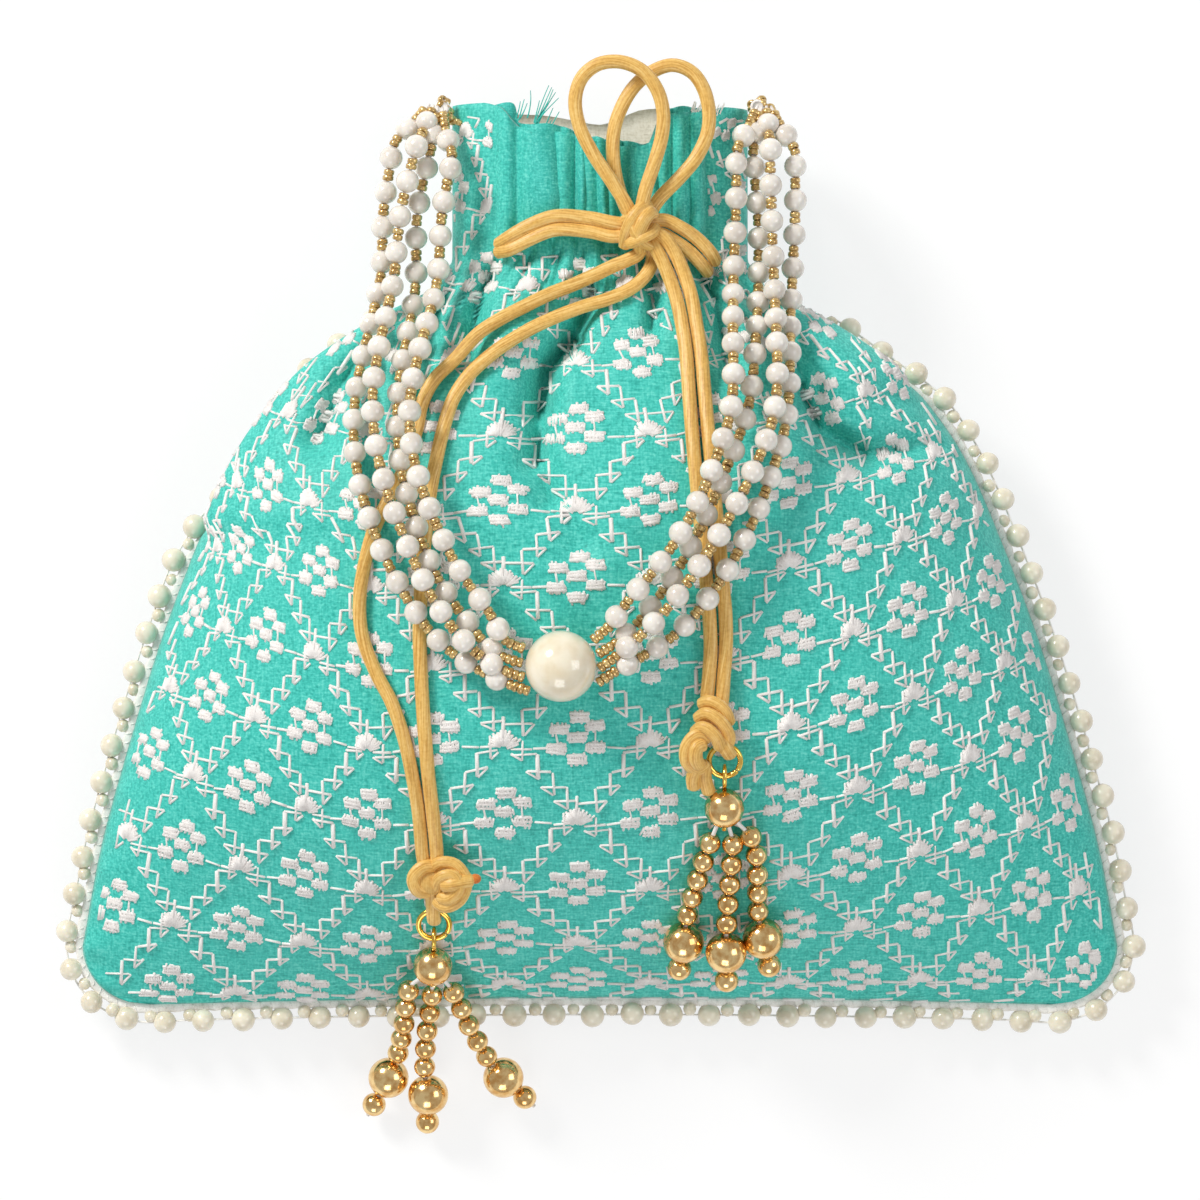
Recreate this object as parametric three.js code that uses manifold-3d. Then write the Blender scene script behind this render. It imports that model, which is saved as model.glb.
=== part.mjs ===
import * as THREE from "three";
import { mergeVertices } from "three/addons/utils/BufferGeometryUtils.js";
import Module from "manifold-3d";

const wasm = await Module();
wasm.setup();

// A potli bag lying on its back. Millimetres: x to the right, y towards the mouth, z up.
const CLEARANCE = 0.3;
const MOUTH_Y = 98;
const SHOULDER_Y = 64;
const FULLEST_Y = 0;
const WIDEST_Y = -80;
const BOTTOM_Y = -92.8;
const NECK_HALF_WIDTH = 31;
const WIDEST_HALF_WIDTH = 109.2;
const CORNER_WIDTH = 14.2;
const BOTTOM_BOW = 1.8;
const BOTTOM_BOW_LENGTH = 20;
const NECK_DEPTH = 12;
const BODY_DEPTH = 33;
const SEAM_HEIGHT = 16;
const SEAM_DROP = 7;
const SEAM_DROP_LENGTH = 60;
const MOUTH_LIFT = 3;
const MOUTH_LIFT_LENGTH = 53;
const MOUTH_DIP_LENGTH = 18;
const PANEL = 1.4;
const LINING = 0.8;
const LINING_FILL = 0.84;
const LINING_SLACK = 0.26;
const LINING_INSET = 1.8;
const LINING_FRONT_GAP = 0.7;
const LINING_BACK_GAP = 1.2;
const CASING = 1.2;
const CASING_HALF_WIDTH = 22;
const CASING_LENGTH = 31;
const PLEAT_HEIGHT = 1.8;
const PLEAT_LENGTH = 54;

const TAPE_WIDTH = 0.7;
const TAPE_HEIGHT = 1.4;
const EDGE_PEARL = 5;
const EDGE_SMALL_PEARL = 2.8;
const EDGE_PITCH = 8.2;
const EDGE_START = 14;

const STRANDS = 4;
const PEARL = 4.8;
const SEED = 2.3;
const BEAD_PITCH = 7.3;
const STRAND_PITCH = 4;
const STRAND_LAYER = 4;
const CENTER_PEARL = 14.5;
const ANCHOR = { drop: 2, height: 10, radius: 1.6 };
const CENTER = { x: -7.9, y: -20.3, tilt: 0.12 };

const CORD = 2.4;
const CORD_SIDES = 8;
const WRAP_SIDES = 6;
const RING_DIAMETER = 6.4;
const RING_WIRE = 1.2;
const EYE_DIAMETER = 4.2;
const EYE_WIRE = 0.9;
const TASSEL_BEAD = 8.2;
const DROP_BEAD = 4.6;
const DROP_BEADS = 5;
const DROP_BALL = 8.6;
const DROP_TIP = 5;
const DROP_THREAD = 1;
const DROP_THREAD_LENGTH = 2.6;

// Share of the flank's length from the shoulder down, and share of its flare.
const FLARE = [
  [0, 0],
  [0.045, 0.07],
  [0.087, 0.217],
  [0.149, 0.384],
  [0.212, 0.492],
  [0.285, 0.582],
  [0.389, 0.668],
  [0.549, 0.78],
  [0.708, 0.87],
  [0.854, 0.946],
  [1, 1],
];

// Creases of the gathered neck, as shares of its half width.
const PLEATS = [-0.7, -0.56, -0.32, -0.17, 0.02, 0.13, 0.37, 0.48, 0.6, 0.71];

// How far the front edge of the mouth falls back from its highest point.
const MOUTH_DIP = [
  [-22, 1.5],
  [-17, 3.5],
  [-5, 4.5],
  [3, 7.5],
  [10, 8.2],
  [13, 3],
  [22, 1.5],
];

// Creases pressed into the puffed front: from, to, depth and half width.
const CREASES = [
  { from: [-4.7, 53], to: [-9.6, 40], depth: 8, width: 3.4 },
  { from: [-9.6, 40], to: [-12.3, 32], depth: 8, width: 3.4 },
  { from: [-12.3, 32], to: [-11.5, 20], depth: 5.5, width: 3 },
  { from: [-11.5, 20], to: [-6.5, 12], depth: 2.5, width: 3 },
  { from: [36, 50], to: [41, 35], depth: 4, width: 3.6 },
  { from: [41, 35], to: [47, 27], depth: 5, width: 3.6 },
  { from: [47, 27], to: [55, 23], depth: 4.5, width: 3.2 },
  { from: [55, 23], to: [68, 24], depth: 3, width: 3 },
  { from: [-46, 47], to: [-51, 38], depth: 4.5, width: 4 },
  { from: [-51, 38], to: [-55, 27], depth: 4, width: 4 },
  { from: [-31, 55], to: [-36, 40], depth: 3, width: 4 },
  { from: [22, 58], to: [25, 42], depth: 2.5, width: 3.5 },
];

// Rows of points down the fabric, as shares of the neck, of the flank and of the bottom corner.
const FRONT_ROWS = {
  neck: [0, 0.294, 0.588, 0.824],
  flank: [0, 0.042, 0.083, 0.132, 0.188, 0.25, 0.319, 0.403, 0.528, 0.7, 0.87],
  corner: [0, 0.547, 0.86, 1],
};
const BACK_ROWS = {
  neck: [0, 0.412, 0.824],
  flank: [0.02, 0.076, 0.139, 0.236, 0.389, 0.618, 0.861],
  corner: [0, 0.625, 0.937, 1],
};
const LINING_ROWS = {
  neck: [0.029],
  flank: [0, 0.042, 0.083, 0.139, 0.25, 0.389, 0.618, 0.861],
  corner: [0, 0.703],
};

// Points along the edging: shares of the flank below the shoulder, of the corner, and of the bottom.
const EDGE_POINTS = {
  flank: [0, 0.06, 0.13, 0.215, 0.32, 0.45, 0.58, 0.71, 0.83, 0.92],
  corner: [0, 0.43, 0.78],
  bottom: [1.03, 0.905, 0.63, 0.316],
};

// Middle line of each bead bundle: how far out from the neck's side, and y.
const BUNDLES = {
  left: [
    [5.6, 86.6],
    [8.4, 73],
    [9.2, 59],
    [11.2, 47.5],
    [12.9, 37],
    [13, 27.8],
    [11.3, 17.6],
    [7.5, 6.3],
    [2.4, -4.5],
    [-4.1, -13.4],
    [-10.4, -19],
  ],
  right: [
    [2.8, 86],
    [3.2, 73],
    [3.2, 59],
    [2.8, 46.5],
    [2.4, 37],
    [1.2, 29.5],
    [-1.6, 21.7],
    [-6.1, 11.4],
    [-11.8, 1.2],
    [-18.8, -8.3],
    [-26, -15.3],
  ],
};

// Routes of the satin cords, from where each leaves the casing or the bow.
const CORDS = {
  drawstring_lead_left_upper: [
    [-18.4, 68.4, 33.6], [-14.5, 70.6, 34.2], [-9.3, 72.4, 34.6], [-2.1, 72, 35], [2.6, 71, 35.6],
  ],
  drawstring_lead_left_lower: [
    [-18.8, 65.6, 33.2], [-14.5, 67.7, 34], [-9.3, 69.6, 34.5], [-2.1, 69.2, 34.9], [2.6, 68.2, 35.4],
  ],
  drawstring_lead_right_upper: [
    [13.4, 71.6, 34.2], [16.6, 70.2, 33.8], [20, 68, 32.8], [22.8, 65.2, 32],
  ],
  drawstring_lead_right_lower: [
    [12.9, 68.7, 34], [15.4, 67.3, 33.6], [18.5, 65.2, 32.7], [20.9, 62.8, 32],
  ],
  bow_loop_left: [
    [5.5, 74.4, 37.4], [2.5, 79.2, 37.6], [-1.4, 85, 37.8], [-4.3, 90.9, 38], [-5.1, 96.4, 38.2],
    [-3.7, 100.7, 38.4], [-0.4, 103.4, 38.5], [4.3, 103.9, 38.5], [8.8, 102, 38.4], [11.8, 98.1, 38.2],
    [13, 93.7, 38], [12.8, 89.1, 37.8], [11.3, 83.4, 37.6], [9.5, 78, 37.5], [8.7, 74.4, 37.4],
  ],
  bow_loop_right: [
    [5.2, 74.6, 34.4], [3.6, 79.1, 34.4], [2.7, 84.7, 34.5], [2.9, 90.1, 34.6], [4.3, 94.6, 34.7],
    [7, 99.1, 34.9], [10.7, 102.2, 35], [15, 103.6, 35], [18.9, 102.2, 34.9], [21.4, 98.7, 34.8],
    [22.5, 94.2, 34.7], [22.2, 89.6, 34.6], [19.8, 84.4, 34.6], [15.9, 79.8, 34.5], [12.4, 76.2, 34.4],
  ],
  drawstring_tail_left_outer: [
    [8, 64.7, 34.8], [5.8, 63.4, 34.8], [2.5, 62, 34.9], [-1.2, 60.2, 35], [-5.8, 58.1, 35.4],
    [-10.3, 56.3, 36], [-15.5, 53.7, 36.8], [-20.6, 51, 37.6], [-25.1, 47.9, 38.6], [-29.8, 42.6, 40.4],
    [-33.9, 38.5, 41.4], [-36.4, 33.7, 42.5], [-37.6, 27.9, 43.9], [-40, 20.1, 45.6], [-43.3, 13.5, 46.5],
    [-46.2, 7.4, 46.9], [-47.9, 1.3, 47.1], [-49, -5.3, 47.2], [-49, -11.4, 47.3], [-48, -16.1, 47.5],
    [-45.5, -22.2, 47.8], [-42.6, -27.7, 47.8], [-40, -35.3, 47.2], [-38.4, -42.9, 45.4],
    [-37.2, -50.6, 42.9], [-36.4, -60, 39.2],
  ],
  drawstring_tail_left_inner: [
    [10.9, 64.1, 33.2], [9.9, 60.9, 34.3], [6.9, 57.8, 35.2], [2.1, 55.4, 36.1], [-3.5, 53.6, 36.9],
    [-8.7, 51.6, 37.7], [-13.8, 49.2, 38.7], [-18.6, 46.3, 40], [-23, 43, 41.1], [-27.1, 39, 42.2],
    [-30, 34.5, 43.4], [-31.8, 29.1, 44.9], [-33.3, 22.5, 46.6], [-34.6, 15.5, 48], [-35.5, 7.4, 49.1],
    [-36.3, -0.8, 49.6], [-36.6, -7.5, 49.7], [-36.8, -13.2, 49.6], [-36.6, -19.3, 49.4],
    [-36.2, -27.7, 48.7], [-35.7, -35.3, 47.7], [-35.1, -42.9, 45.7], [-34.3, -50.6, 43.1],
    [-33.6, -60, 39.3],
  ],
  drawstring_tail_right_inner: [
    [11.8, 65, 36.6], [13.2, 62.2, 36.7], [14.5, 59, 36.9], [15.8, 54.9, 37.8], [16.9, 49.5, 39.3],
    [17.7, 43.4, 41.4], [18.2, 36.1, 44.1], [18.7, 28.9, 46.5], [19.3, 21.2, 48.6], [20, 13.5, 50.1],
    [20.9, 4.3, 51.1], [21.8, -4.9, 51.3], [22.3, -11, 51.3], [22.5, -17.1, 51], [22.2, -22.2, 50.9],
    [21.8, -28.3, 50.9],
  ],
  drawstring_tail_right_outer: [
    [13.6, 67.4, 36.4], [15.5, 64.6, 36.2], [17.3, 60.6, 36.3], [18.8, 55.8, 37.2], [19.9, 49.5, 38.9],
    [20.8, 43.4, 41.1], [21.4, 36.1, 43.7], [22, 28.9, 46.1], [22.7, 21.3, 48.2], [23.4, 13.5, 49.8],
    [24.3, 4.3, 50.9], [25.1, -4.9, 51.1], [25.6, -11, 51], [25.6, -17.1, 50.7], [25.2, -22.2, 50.7],
    [24.7, -28.3, 50.9],
  ],
};

// The bow knot's core and the cord that wraps over it.
const BOW_KNOT = {
  core: [7.8, 69.6, 36],
  size: [4.2, 4.2, 2.5],
  wraps: [[[4.6, 66.8, 36.2], [6.4, 69, 38.6], [9.4, 71.2, 38.6], [11.2, 72.4, 36.4]]],
};

// Each end knot with its cord stubs, the top of its ring, and the lines that the ring, the head bead
// and the drops hang along.
const TASSELS = {
  left: {
    core: [-34.9, -64.7, 38],
    size: [4.6, 4.3, 2.9],
    wraps: [
      [[-37.6, -67, 37.4], [-36.4, -64, 40.6], [-34, -62, 40.4], [-32, -61.8, 38.6]],
      [[-33, -64, 38.8], [-30.4, -65.6, 38.2], [-27.6, -65, 37.4], [-25.4, -64.2, 36.8]],
    ],
    top: [-34.4, -71.2, 33.2],
    ringLine: [0, -5.9, -2.5],
    beadLine: [-0.4, -6.2, -3.6],
    drops: [
      [
        [-39.8, -88, 22.4], [-41.3, -96.6, 16], [-43.4, -104.9, 8.6],
        [-46.8, -112, 5.6], [-50.4, -118, 2.8],
      ],
      [
        [-35.2, -90, 20.4], [-36.4, -98, 15.6], [-37, -106.9, 10.6],
        [-36.2, -113.8, 7.4], [-37.2, -121, 2.6],
      ],
      [
        [-30.6, -89, 21.4], [-26.8, -97.8, 15.6], [-21.8, -106.4, 9.5],
        [-16.8, -111.6, 5.6], [-11.4, -117, 2.8],
      ],
    ],
  },
  right: {
    core: [22.9, -32.6, 51.6],
    size: [3.8, 4, 2.9],
    wraps: [
      [[20.2, -35, 51.6], [21, -31.6, 54], [23.4, -29.8, 53.8], [25.6, -30.6, 51.8]],
      [[21.4, -33.6, 52], [19.6, -37, 51.6], [18.4, -40.4, 50.4], [17.4, -43.4, 48.4]],
      [[22, -34.6, 51.6], [20.8, -38, 50.6], [20, -41.6, 49], [19.6, -45, 47.6]],
    ],
    top: [25.4, -36.6, 50.8],
    ringLine: [0, -6.2, -1.6],
    beadLine: [0, -6.6, -2.2],
    drops: [
      [
        [22.6, -56.6, 42.2], [20.4, -63.4, 38.6], [18, -72.8, 32.4],
        [17.2, -79.6, 28.6], [16, -86.8, 22.8],
      ],
      [
        [27.2, -56.6, 42.4], [26.8, -64, 39], [26.2, -72.8, 34.8],
        [26.1, -80, 31.6], [26.4, -87.6, 26.6],
      ],
      [
        [31.4, -56.2, 42.2], [32.4, -63.6, 38.4], [32.8, -72.4, 32.8],
        [34.4, -79.4, 29], [36, -86.4, 24],
      ],
    ],
  },
};

const finish = (color, roughness, metalness = 0) =>
  new THREE.MeshStandardMaterial({ color, roughness, metalness });
const FINISH = {
  silk: finish(0x40c8b9, 0.6),
  plain: finish(0x3fc0b2, 0.6),
  lining: finish(0xefe9dc, 0.8),
  lace: finish(0xf2efe6, 0.8),
  edgePearl: finish(0xdcd7c3, 0.35),
  pearl: finish(0xf3eee6, 0.25),
  centerPearl: finish(0xeee4c8, 0.2),
  satin: finish(0xe6b455, 0.45),
  gold: finish(0xdcaf6e, 0.2, 1),
  wire: finish(0xd8a63a, 0.25, 1),
  thread: finish(0xf0e8d8, 0.7),
};

const clamp01 = (t) => Math.min(1, Math.max(0, t));
const ease = (t) => clamp01(t) ** 2 * (3 - 2 * clamp01(t));
const mix = (a, b, t) => a + (b - a) * t;

// Smooth value through rising knots of [place, value].
function through(knots, at) {
  const last = knots.length - 1;
  if (at <= knots[0][0]) return knots[0][1];
  if (at >= knots[last][0]) return knots[last][1];
  const i = knots.findIndex(([place]) => place > at) - 1;
  const slope = (j) => {
    const [before, after] = [knots[Math.max(0, j - 1)], knots[Math.min(last, j + 1)]];
    return (after[1] - before[1]) / (after[0] - before[0]);
  };
  const step = knots[i + 1][0] - knots[i][0];
  const t = (at - knots[i][0]) / step;
  const bend = step * t * (1 - t) * ((1 - t) * slope(i) - t * slope(i + 1));
  return mix(knots[i][1], knots[i + 1][1], ease(t)) + bend;
}

function halfWidth(y) {
  if (y >= SHOULDER_Y) return NECK_HALF_WIDTH;
  if (y >= WIDEST_Y) {
    const down = (SHOULDER_Y - y) / (SHOULDER_Y - WIDEST_Y);
    return mix(NECK_HALF_WIDTH, WIDEST_HALF_WIDTH, through(FLARE, down));
  }
  const turn = clamp01((WIDEST_Y - y) / (WIDEST_Y - BOTTOM_Y));
  return WIDEST_HALF_WIDTH - CORNER_WIDTH * (1 - Math.sqrt(1 - turn ** 2));
}

function frontDepth(y) {
  if (y >= FULLEST_Y) {
    const swell = clamp01((SHOULDER_Y - y) / (SHOULDER_Y - FULLEST_Y));
    return mix(NECK_DEPTH, BODY_DEPTH, Math.sin((swell * Math.PI) / 2));
  }
  const fall = clamp01((FULLEST_Y - y) / (FULLEST_Y - BOTTOM_Y));
  return BODY_DEPTH * (1 - fall ** 2.4) ** 0.85;
}

// Share of the full depth left at u, from 0 in the middle to 1 at the side seam.
function crown(u, y) {
  const squareness = mix(4, 2.4, ease((SHOULDER_Y - y) / 40));
  return Math.max(0, 1 - Math.abs(u) ** squareness) ** 0.58;
}

const seamHeight = (y) => SEAM_HEIGHT - SEAM_DROP * ease(1 - (y - BOTTOM_Y) / SEAM_DROP_LENGTH);
const backHeight = (y) => MOUTH_LIFT * ease(1 - (MOUTH_Y - y) / MOUTH_LIFT_LENGTH);

function pleat(u, y) {
  const i = PLEATS.findIndex((crease) => crease > u);
  if (i < 1) return 0;
  const share = (u - PLEATS[i - 1]) / (PLEATS[i] - PLEATS[i - 1]);
  const fade = ease((PLEAT_LENGTH - (MOUTH_Y - y)) / (PLEAT_LENGTH - CASING_LENGTH));
  return PLEAT_HEIGHT * fade * Math.sin(Math.PI * share) ** 0.8;
}

function crease(x, y) {
  let deepest = 0;
  for (const { from, to, depth, width } of CREASES) {
    const along = [to[0] - from[0], to[1] - from[1]];
    const reach = [x - from[0], y - from[1]];
    const span = along[0] ** 2 + along[1] ** 2;
    const t = clamp01((along[0] * reach[0] + along[1] * reach[1]) / span);
    const off = Math.hypot(reach[0] - t * along[0], reach[1] - t * along[1]);
    deepest = Math.max(deepest, depth * Math.exp(-((off / width) ** 2)));
  }
  return deepest;
}

const rise = (u, y) => frontDepth(y) * crown(u, y);
const fall = (u, y) => crease(u * halfWidth(y), y) * clamp01(4 * (1 - Math.abs(u)));

// Height of the plump front without its creases, on which beads and cords lie.
function restHeight(x, y, widest = 1) {
  const u = Math.min(widest, Math.abs(x) / halfWidth(y));
  return seamHeight(y) + CLEARANCE / 2 + PANEL + rise(u, y);
}

function mouthDip(x) {
  return through(MOUTH_DIP, x);
}

// Place of a row: the front's rows follow the dipped mouth, all rows the bowed bottom seam.
function rowY(x, y, dip = 0) {
  const bow = BOTTOM_BOW * (1 - (x / WIDEST_HALF_WIDTH) ** 2);
  const dipped = dip * ease(1 - (MOUTH_Y - y) / MOUTH_DIP_LENGTH);
  return y - dipped + bow * ease(1 - (y - BOTTOM_Y) / BOTTOM_BOW_LENGTH);
}

const rowsOf = ({ neck, flank, corner }) => [
  ...neck.map((share) => mix(MOUTH_Y, SHOULDER_Y, share)),
  ...flank.map((share) => mix(SHOULDER_Y, WIDEST_Y, share)),
  ...corner.map((share) => mix(WIDEST_Y, BOTTOM_Y, share)),
];

// Share of a wall by which a panel's inner face draws in at the bottom seam.
const drawnIn = (y) => ease((WIDEST_Y - y) / (WIDEST_Y - BOTTOM_Y));

// Columns: three to a pleat, and a few wider ones down each flank.
function frontColumns() {
  const flank = [-1, -0.97, -0.9, -0.8];
  const pleats = PLEATS.slice(1).flatMap((end, i) => {
    const start = PLEATS[i];
    return [start, mix(start, end, 0.3), mix(start, end, 0.7)];
  });
  return [...flank, ...pleats, PLEATS.at(-1), 0.8, 0.9, 0.97, 1];
}

function evenColumns(count) {
  return Array.from({ length: count + 1 }, (_, i) => -Math.cos((Math.PI * i) / count));
}

function geometryOf(points, faces) {
  const geometry = new THREE.BufferGeometry();
  geometry.setAttribute("position", new THREE.Float32BufferAttribute(points.flat(), 3));
  geometry.setIndex(faces.flat());
  return geometry;
}

function gridFaces(rows, columns, first, wraps = false) {
  const faces = [];
  const across = wraps ? columns : columns - 1;
  for (let r = 0; r < rows - 1; r++) {
    for (let c = 0; c < across; c++) {
      const next = (c + 1) % columns;
      const [a, b] = [first + r * columns + c, first + r * columns + next];
      faces.push([a, a + columns, b], [b, a + columns, b + columns]);
    }
  }
  return faces;
}

const flipped = (faces) => faces.map(([a, b, c]) => [a, c, b]);

// A sheet with thickness: two grids of points, the upper and the lower face, joined round the rim.
function sheetSolid(upper, lower) {
  const [rows, columns] = [upper.length, upper[0].length];
  const size = rows * columns;
  const faces = [
    ...gridFaces(rows, columns, 0),
    ...flipped(gridFaces(rows, columns, size)),
  ];
  const rim = [];
  for (let c = 0; c < columns - 1; c++) rim.push(c);
  for (let r = 0; r < rows - 1; r++) rim.push(r * columns + columns - 1);
  for (let c = columns - 1; c > 0; c--) rim.push((rows - 1) * columns + c);
  for (let r = rows - 1; r > 0; r--) rim.push(r * columns);
  rim.forEach((a, i) => {
    const b = rim[(i + 1) % rim.length];
    faces.push([a, b, b + size], [a, b + size, a + size]);
  });
  return geometryOf([...upper.flat(), ...lower.flat()], faces);
}

// A bag with thickness: rings of points from the mouth down, closed across the bottom.
function bagSolid(outer, inner) {
  const [rows, count] = [outer.length, outer[0].length];
  const size = rows * count;
  const half = count / 2;
  const cap = (first) => {
    const faces = [];
    const base = first + (rows - 1) * count;
    for (let i = 0; i < half - 1; i++) {
      const [front, back] = [base + i, base + count - 1 - i];
      faces.push([front + 1, front, back], [front + 1, back, back - 1]);
    }
    return faces;
  };
  const faces = [
    ...gridFaces(rows, count, 0, true),
    ...flipped(gridFaces(rows, count, size, true)),
    ...cap(0),
    ...flipped(cap(size)),
  ];
  for (let c = 0; c < count; c++) {
    const next = (c + 1) % count;
    faces.push([c, next, next + size], [c, next + size, c + size]);
  }
  return geometryOf([...outer.flat(), ...inner.flat()], faces);
}

// A round body of changing radius along a curve, at stations of [distance, radius].
function turnedAlong(curve, stations, sides) {
  const length = curve.getLength();
  const points = [];
  const up = new THREE.Vector3(0, 0, 1);
  const ends = [];
  for (const [distance, radius] of stations) {
    const t = clamp01(distance / length);
    const center = curve.getPointAt(t);
    const side = new THREE.Vector3().crossVectors(up, curve.getTangentAt(t)).normalize();
    const over = new THREE.Vector3().crossVectors(curve.getTangentAt(t), side);
    for (let k = 0; k < sides; k++) {
      const angle = (k / sides) * 2 * Math.PI;
      const point = center.clone();
      point.addScaledVector(side, radius * Math.cos(angle));
      point.addScaledVector(over, radius * Math.sin(angle));
      points.push(point.toArray());
    }
    ends.push(center.toArray());
  }
  const last = points.length - sides;
  const faces = flipped(gridFaces(stations.length, sides, 0, true));
  points.push(ends[0], ends.at(-1));
  for (let k = 0; k < sides; k++) {
    const next = (k + 1) % sides;
    faces.push([points.length - 2, next, k], [points.length - 1, last + k, last + next]);
  }
  return geometryOf(points, faces);
}

const curveThrough = (points) =>
  new THREE.CatmullRomCurve3(points.map((point) => new THREE.Vector3(...point)), false, "centripetal");

function part(name, geometry, material) {
  const mesh = new THREE.Mesh(geometry, material);
  mesh.name = name;
  return mesh;
}

function ball(name, diameter, center, material, detail = 8) {
  const mesh = part(name, new THREE.SphereGeometry(diameter / 2, detail, detail - 2), material);
  mesh.rotation.x = Math.PI / 2;
  mesh.position.set(...center);
  return mesh;
}

function frontPanel() {
  const face = (wall) =>
    rowsOf(FRONT_ROWS).map((row) =>
      frontColumns().map((u) => {
        const x = u * (halfWidth(row) - (PANEL - wall));
        const y = rowY(x, row, mouthDip(x)) + (PANEL - wall) * drawnIn(row);
        const z = seamHeight(row) + CLEARANCE / 2 + wall + rise(u, row) + pleat(u, row) - fall(u, row);
        return [x, y, z];
      }),
    );
  return part("front_panel", sheetSolid(face(PANEL), face(0)), FINISH.silk);
}

function backPanel() {
  const face = (wall) =>
    rowsOf(BACK_ROWS).map((row) =>
      evenColumns(14).map((u) => {
        const x = u * (halfWidth(row) - (PANEL - wall));
        const y = rowY(x, row) + (PANEL - wall) * drawnIn(row);
        const top = seamHeight(row) - CLEARANCE / 2;
        const deepest = top - PANEL - backHeight(row);
        return [x, y, top - wall - Math.min(deepest, 1.3 * deepest * crown(u, row))];
      }),
    );
  return part("back_panel", sheetSolid(face(0), face(PANEL)), FINISH.silk);
}

function lining() {
  const across = evenColumns(8);
  const ring = (row, inset, least) => {
    const wide = halfWidth(row) - PANEL - LINING_INSET - inset;
    const lift = (PANEL + LINING + inset) * ease(1 - (row - BOTTOM_Y) / (2 * BOTTOM_BOW_LENGTH));
    const slack = LINING_SLACK * ease(1 - (SHOULDER_Y - row) / SHOULDER_Y) * ease((80 - row) / 10);
    const front = across.map((u) => {
      const x = u * wide;
      const height = (LINING_FILL - slack) * rise(u, row) - LINING_FRONT_GAP - inset;
      return [x, rowY(x, row, mouthDip(x)) + lift, seamHeight(row) + Math.max(least, height)];
    });
    const back = across.toReversed().map((u) => {
      const x = u * wide;
      const deepest = seamHeight(row) - PANEL - backHeight(row);
      const depth = Math.min(deepest - PANEL, deepest * crown(u, row)) - LINING_BACK_GAP - inset;
      return [x, rowY(x, row) + lift, seamHeight(row) - Math.max(least, depth)];
    });
    return [...front, ...back];
  };
  const rows = rowsOf(LINING_ROWS);
  const outer = rows.map((row) => ring(row, 0, LINING + 0.1));
  const inner = rows.map((row) => ring(row, LINING, 0.1));
  return part("lining", bagSolid(outer, inner), FINISH.lining);
}

function neckCasing() {
  const rows = [-0.03, 0.2, 0.45, 0.74, 1].map((share) => MOUTH_Y - share * CASING_LENGTH);
  const edge = CASING_HALF_WIDTH / NECK_HALF_WIDTH;
  const columns = frontColumns().filter((u) => Math.abs(u) < edge + 0.01);
  const face = (wall) =>
    rows.map((row) =>
      columns.map((u) => {
        const x = u * NECK_HALF_WIDTH;
        const z = seamHeight(row) + CLEARANCE * 1.5 + PANEL + wall + rise(u, row) + pleat(u, row);
        return [x, rowY(x, row, mouthDip(x)), z];
      }),
    );
  return part("neck_casing", sheetSolid(face(CASING), face(0)), FINISH.plain);
}

// The seam line round both flanks and the bottom, set out from the fabric by a distance.
function seamCurve(offset) {
  const start = SHOULDER_Y - EDGE_START;
  const flank = [
    ...EDGE_POINTS.flank.map((share) => mix(start, WIDEST_Y, share)),
    ...EDGE_POINTS.corner.map((share) => mix(WIDEST_Y, BOTTOM_Y, share)),
  ];
  const along = flank.map((y) => {
    const slope = (halfWidth(y - 0.2) - halfWidth(y + 0.2)) / 0.4;
    const scale = offset / Math.hypot(1, slope);
    return [halfWidth(y) + scale, y + slope * scale, seamHeight(y)];
  });
  const bottom = EDGE_POINTS.bottom.map((share) => {
    const x = share * halfWidth(BOTTOM_Y);
    return [x, rowY(x, BOTTOM_Y) - offset, seamHeight(BOTTOM_Y)];
  });
  const right = [...along, ...bottom];
  const left = right.map(([x, y, z]) => [-x, y, z]).reverse();
  const middle = [0, rowY(0, BOTTOM_Y) - offset, seamHeight(BOTTOM_Y)];
  return curveThrough([...right, middle, ...left]);
}

function edgeTape() {
  const [wide, tall] = [TAPE_WIDTH / 2, TAPE_HEIGHT / 2];
  const section = new THREE.Shape([
    new THREE.Vector2(-tall, -wide),
    new THREE.Vector2(tall, -wide),
    new THREE.Vector2(tall, wide),
    new THREE.Vector2(-tall, wide),
  ]);
  const geometry = new THREE.ExtrudeGeometry(section, {
    steps: 40,
    bevelEnabled: false,
    extrudePath: seamCurve(CLEARANCE + TAPE_WIDTH / 2),
  });
  return part("edge_tape", geometry, FINISH.lace);
}

function edgePearls() {
  const offset = CLEARANCE + TAPE_WIDTH + CLEARANCE + EDGE_PEARL / 2;
  const curve = seamCurve(offset);
  const count = Math.floor(curve.getLength() / EDGE_PITCH);
  const pitch = curve.getLength() / count;
  const stations = [];
  for (let i = 0; i < count; i++) {
    stations.push([i * pitch + EDGE_SMALL_PEARL / 2, EDGE_SMALL_PEARL / 2]);
    stations.push([i * pitch + EDGE_SMALL_PEARL + EDGE_PEARL / 2, EDGE_PEARL / 2]);
  }
  stations.push([curve.getLength(), EDGE_SMALL_PEARL / 2]);
  return part("edge_pearls", turnedAlong(curve, stations, 5), FINISH.edgePearl);
}

const anchorPoint = (sign) => [sign * (NECK_HALF_WIDTH + 2 * ANCHOR.radius), MOUTH_Y - ANCHOR.drop];
const anchorHeight = () => seamHeight(MOUTH_Y) + ANCHOR.height;
const pearlHeight = () => restHeight(CENTER.x, CENTER.y) + CENTER_PEARL / 2 + CLEARANCE;

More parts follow.
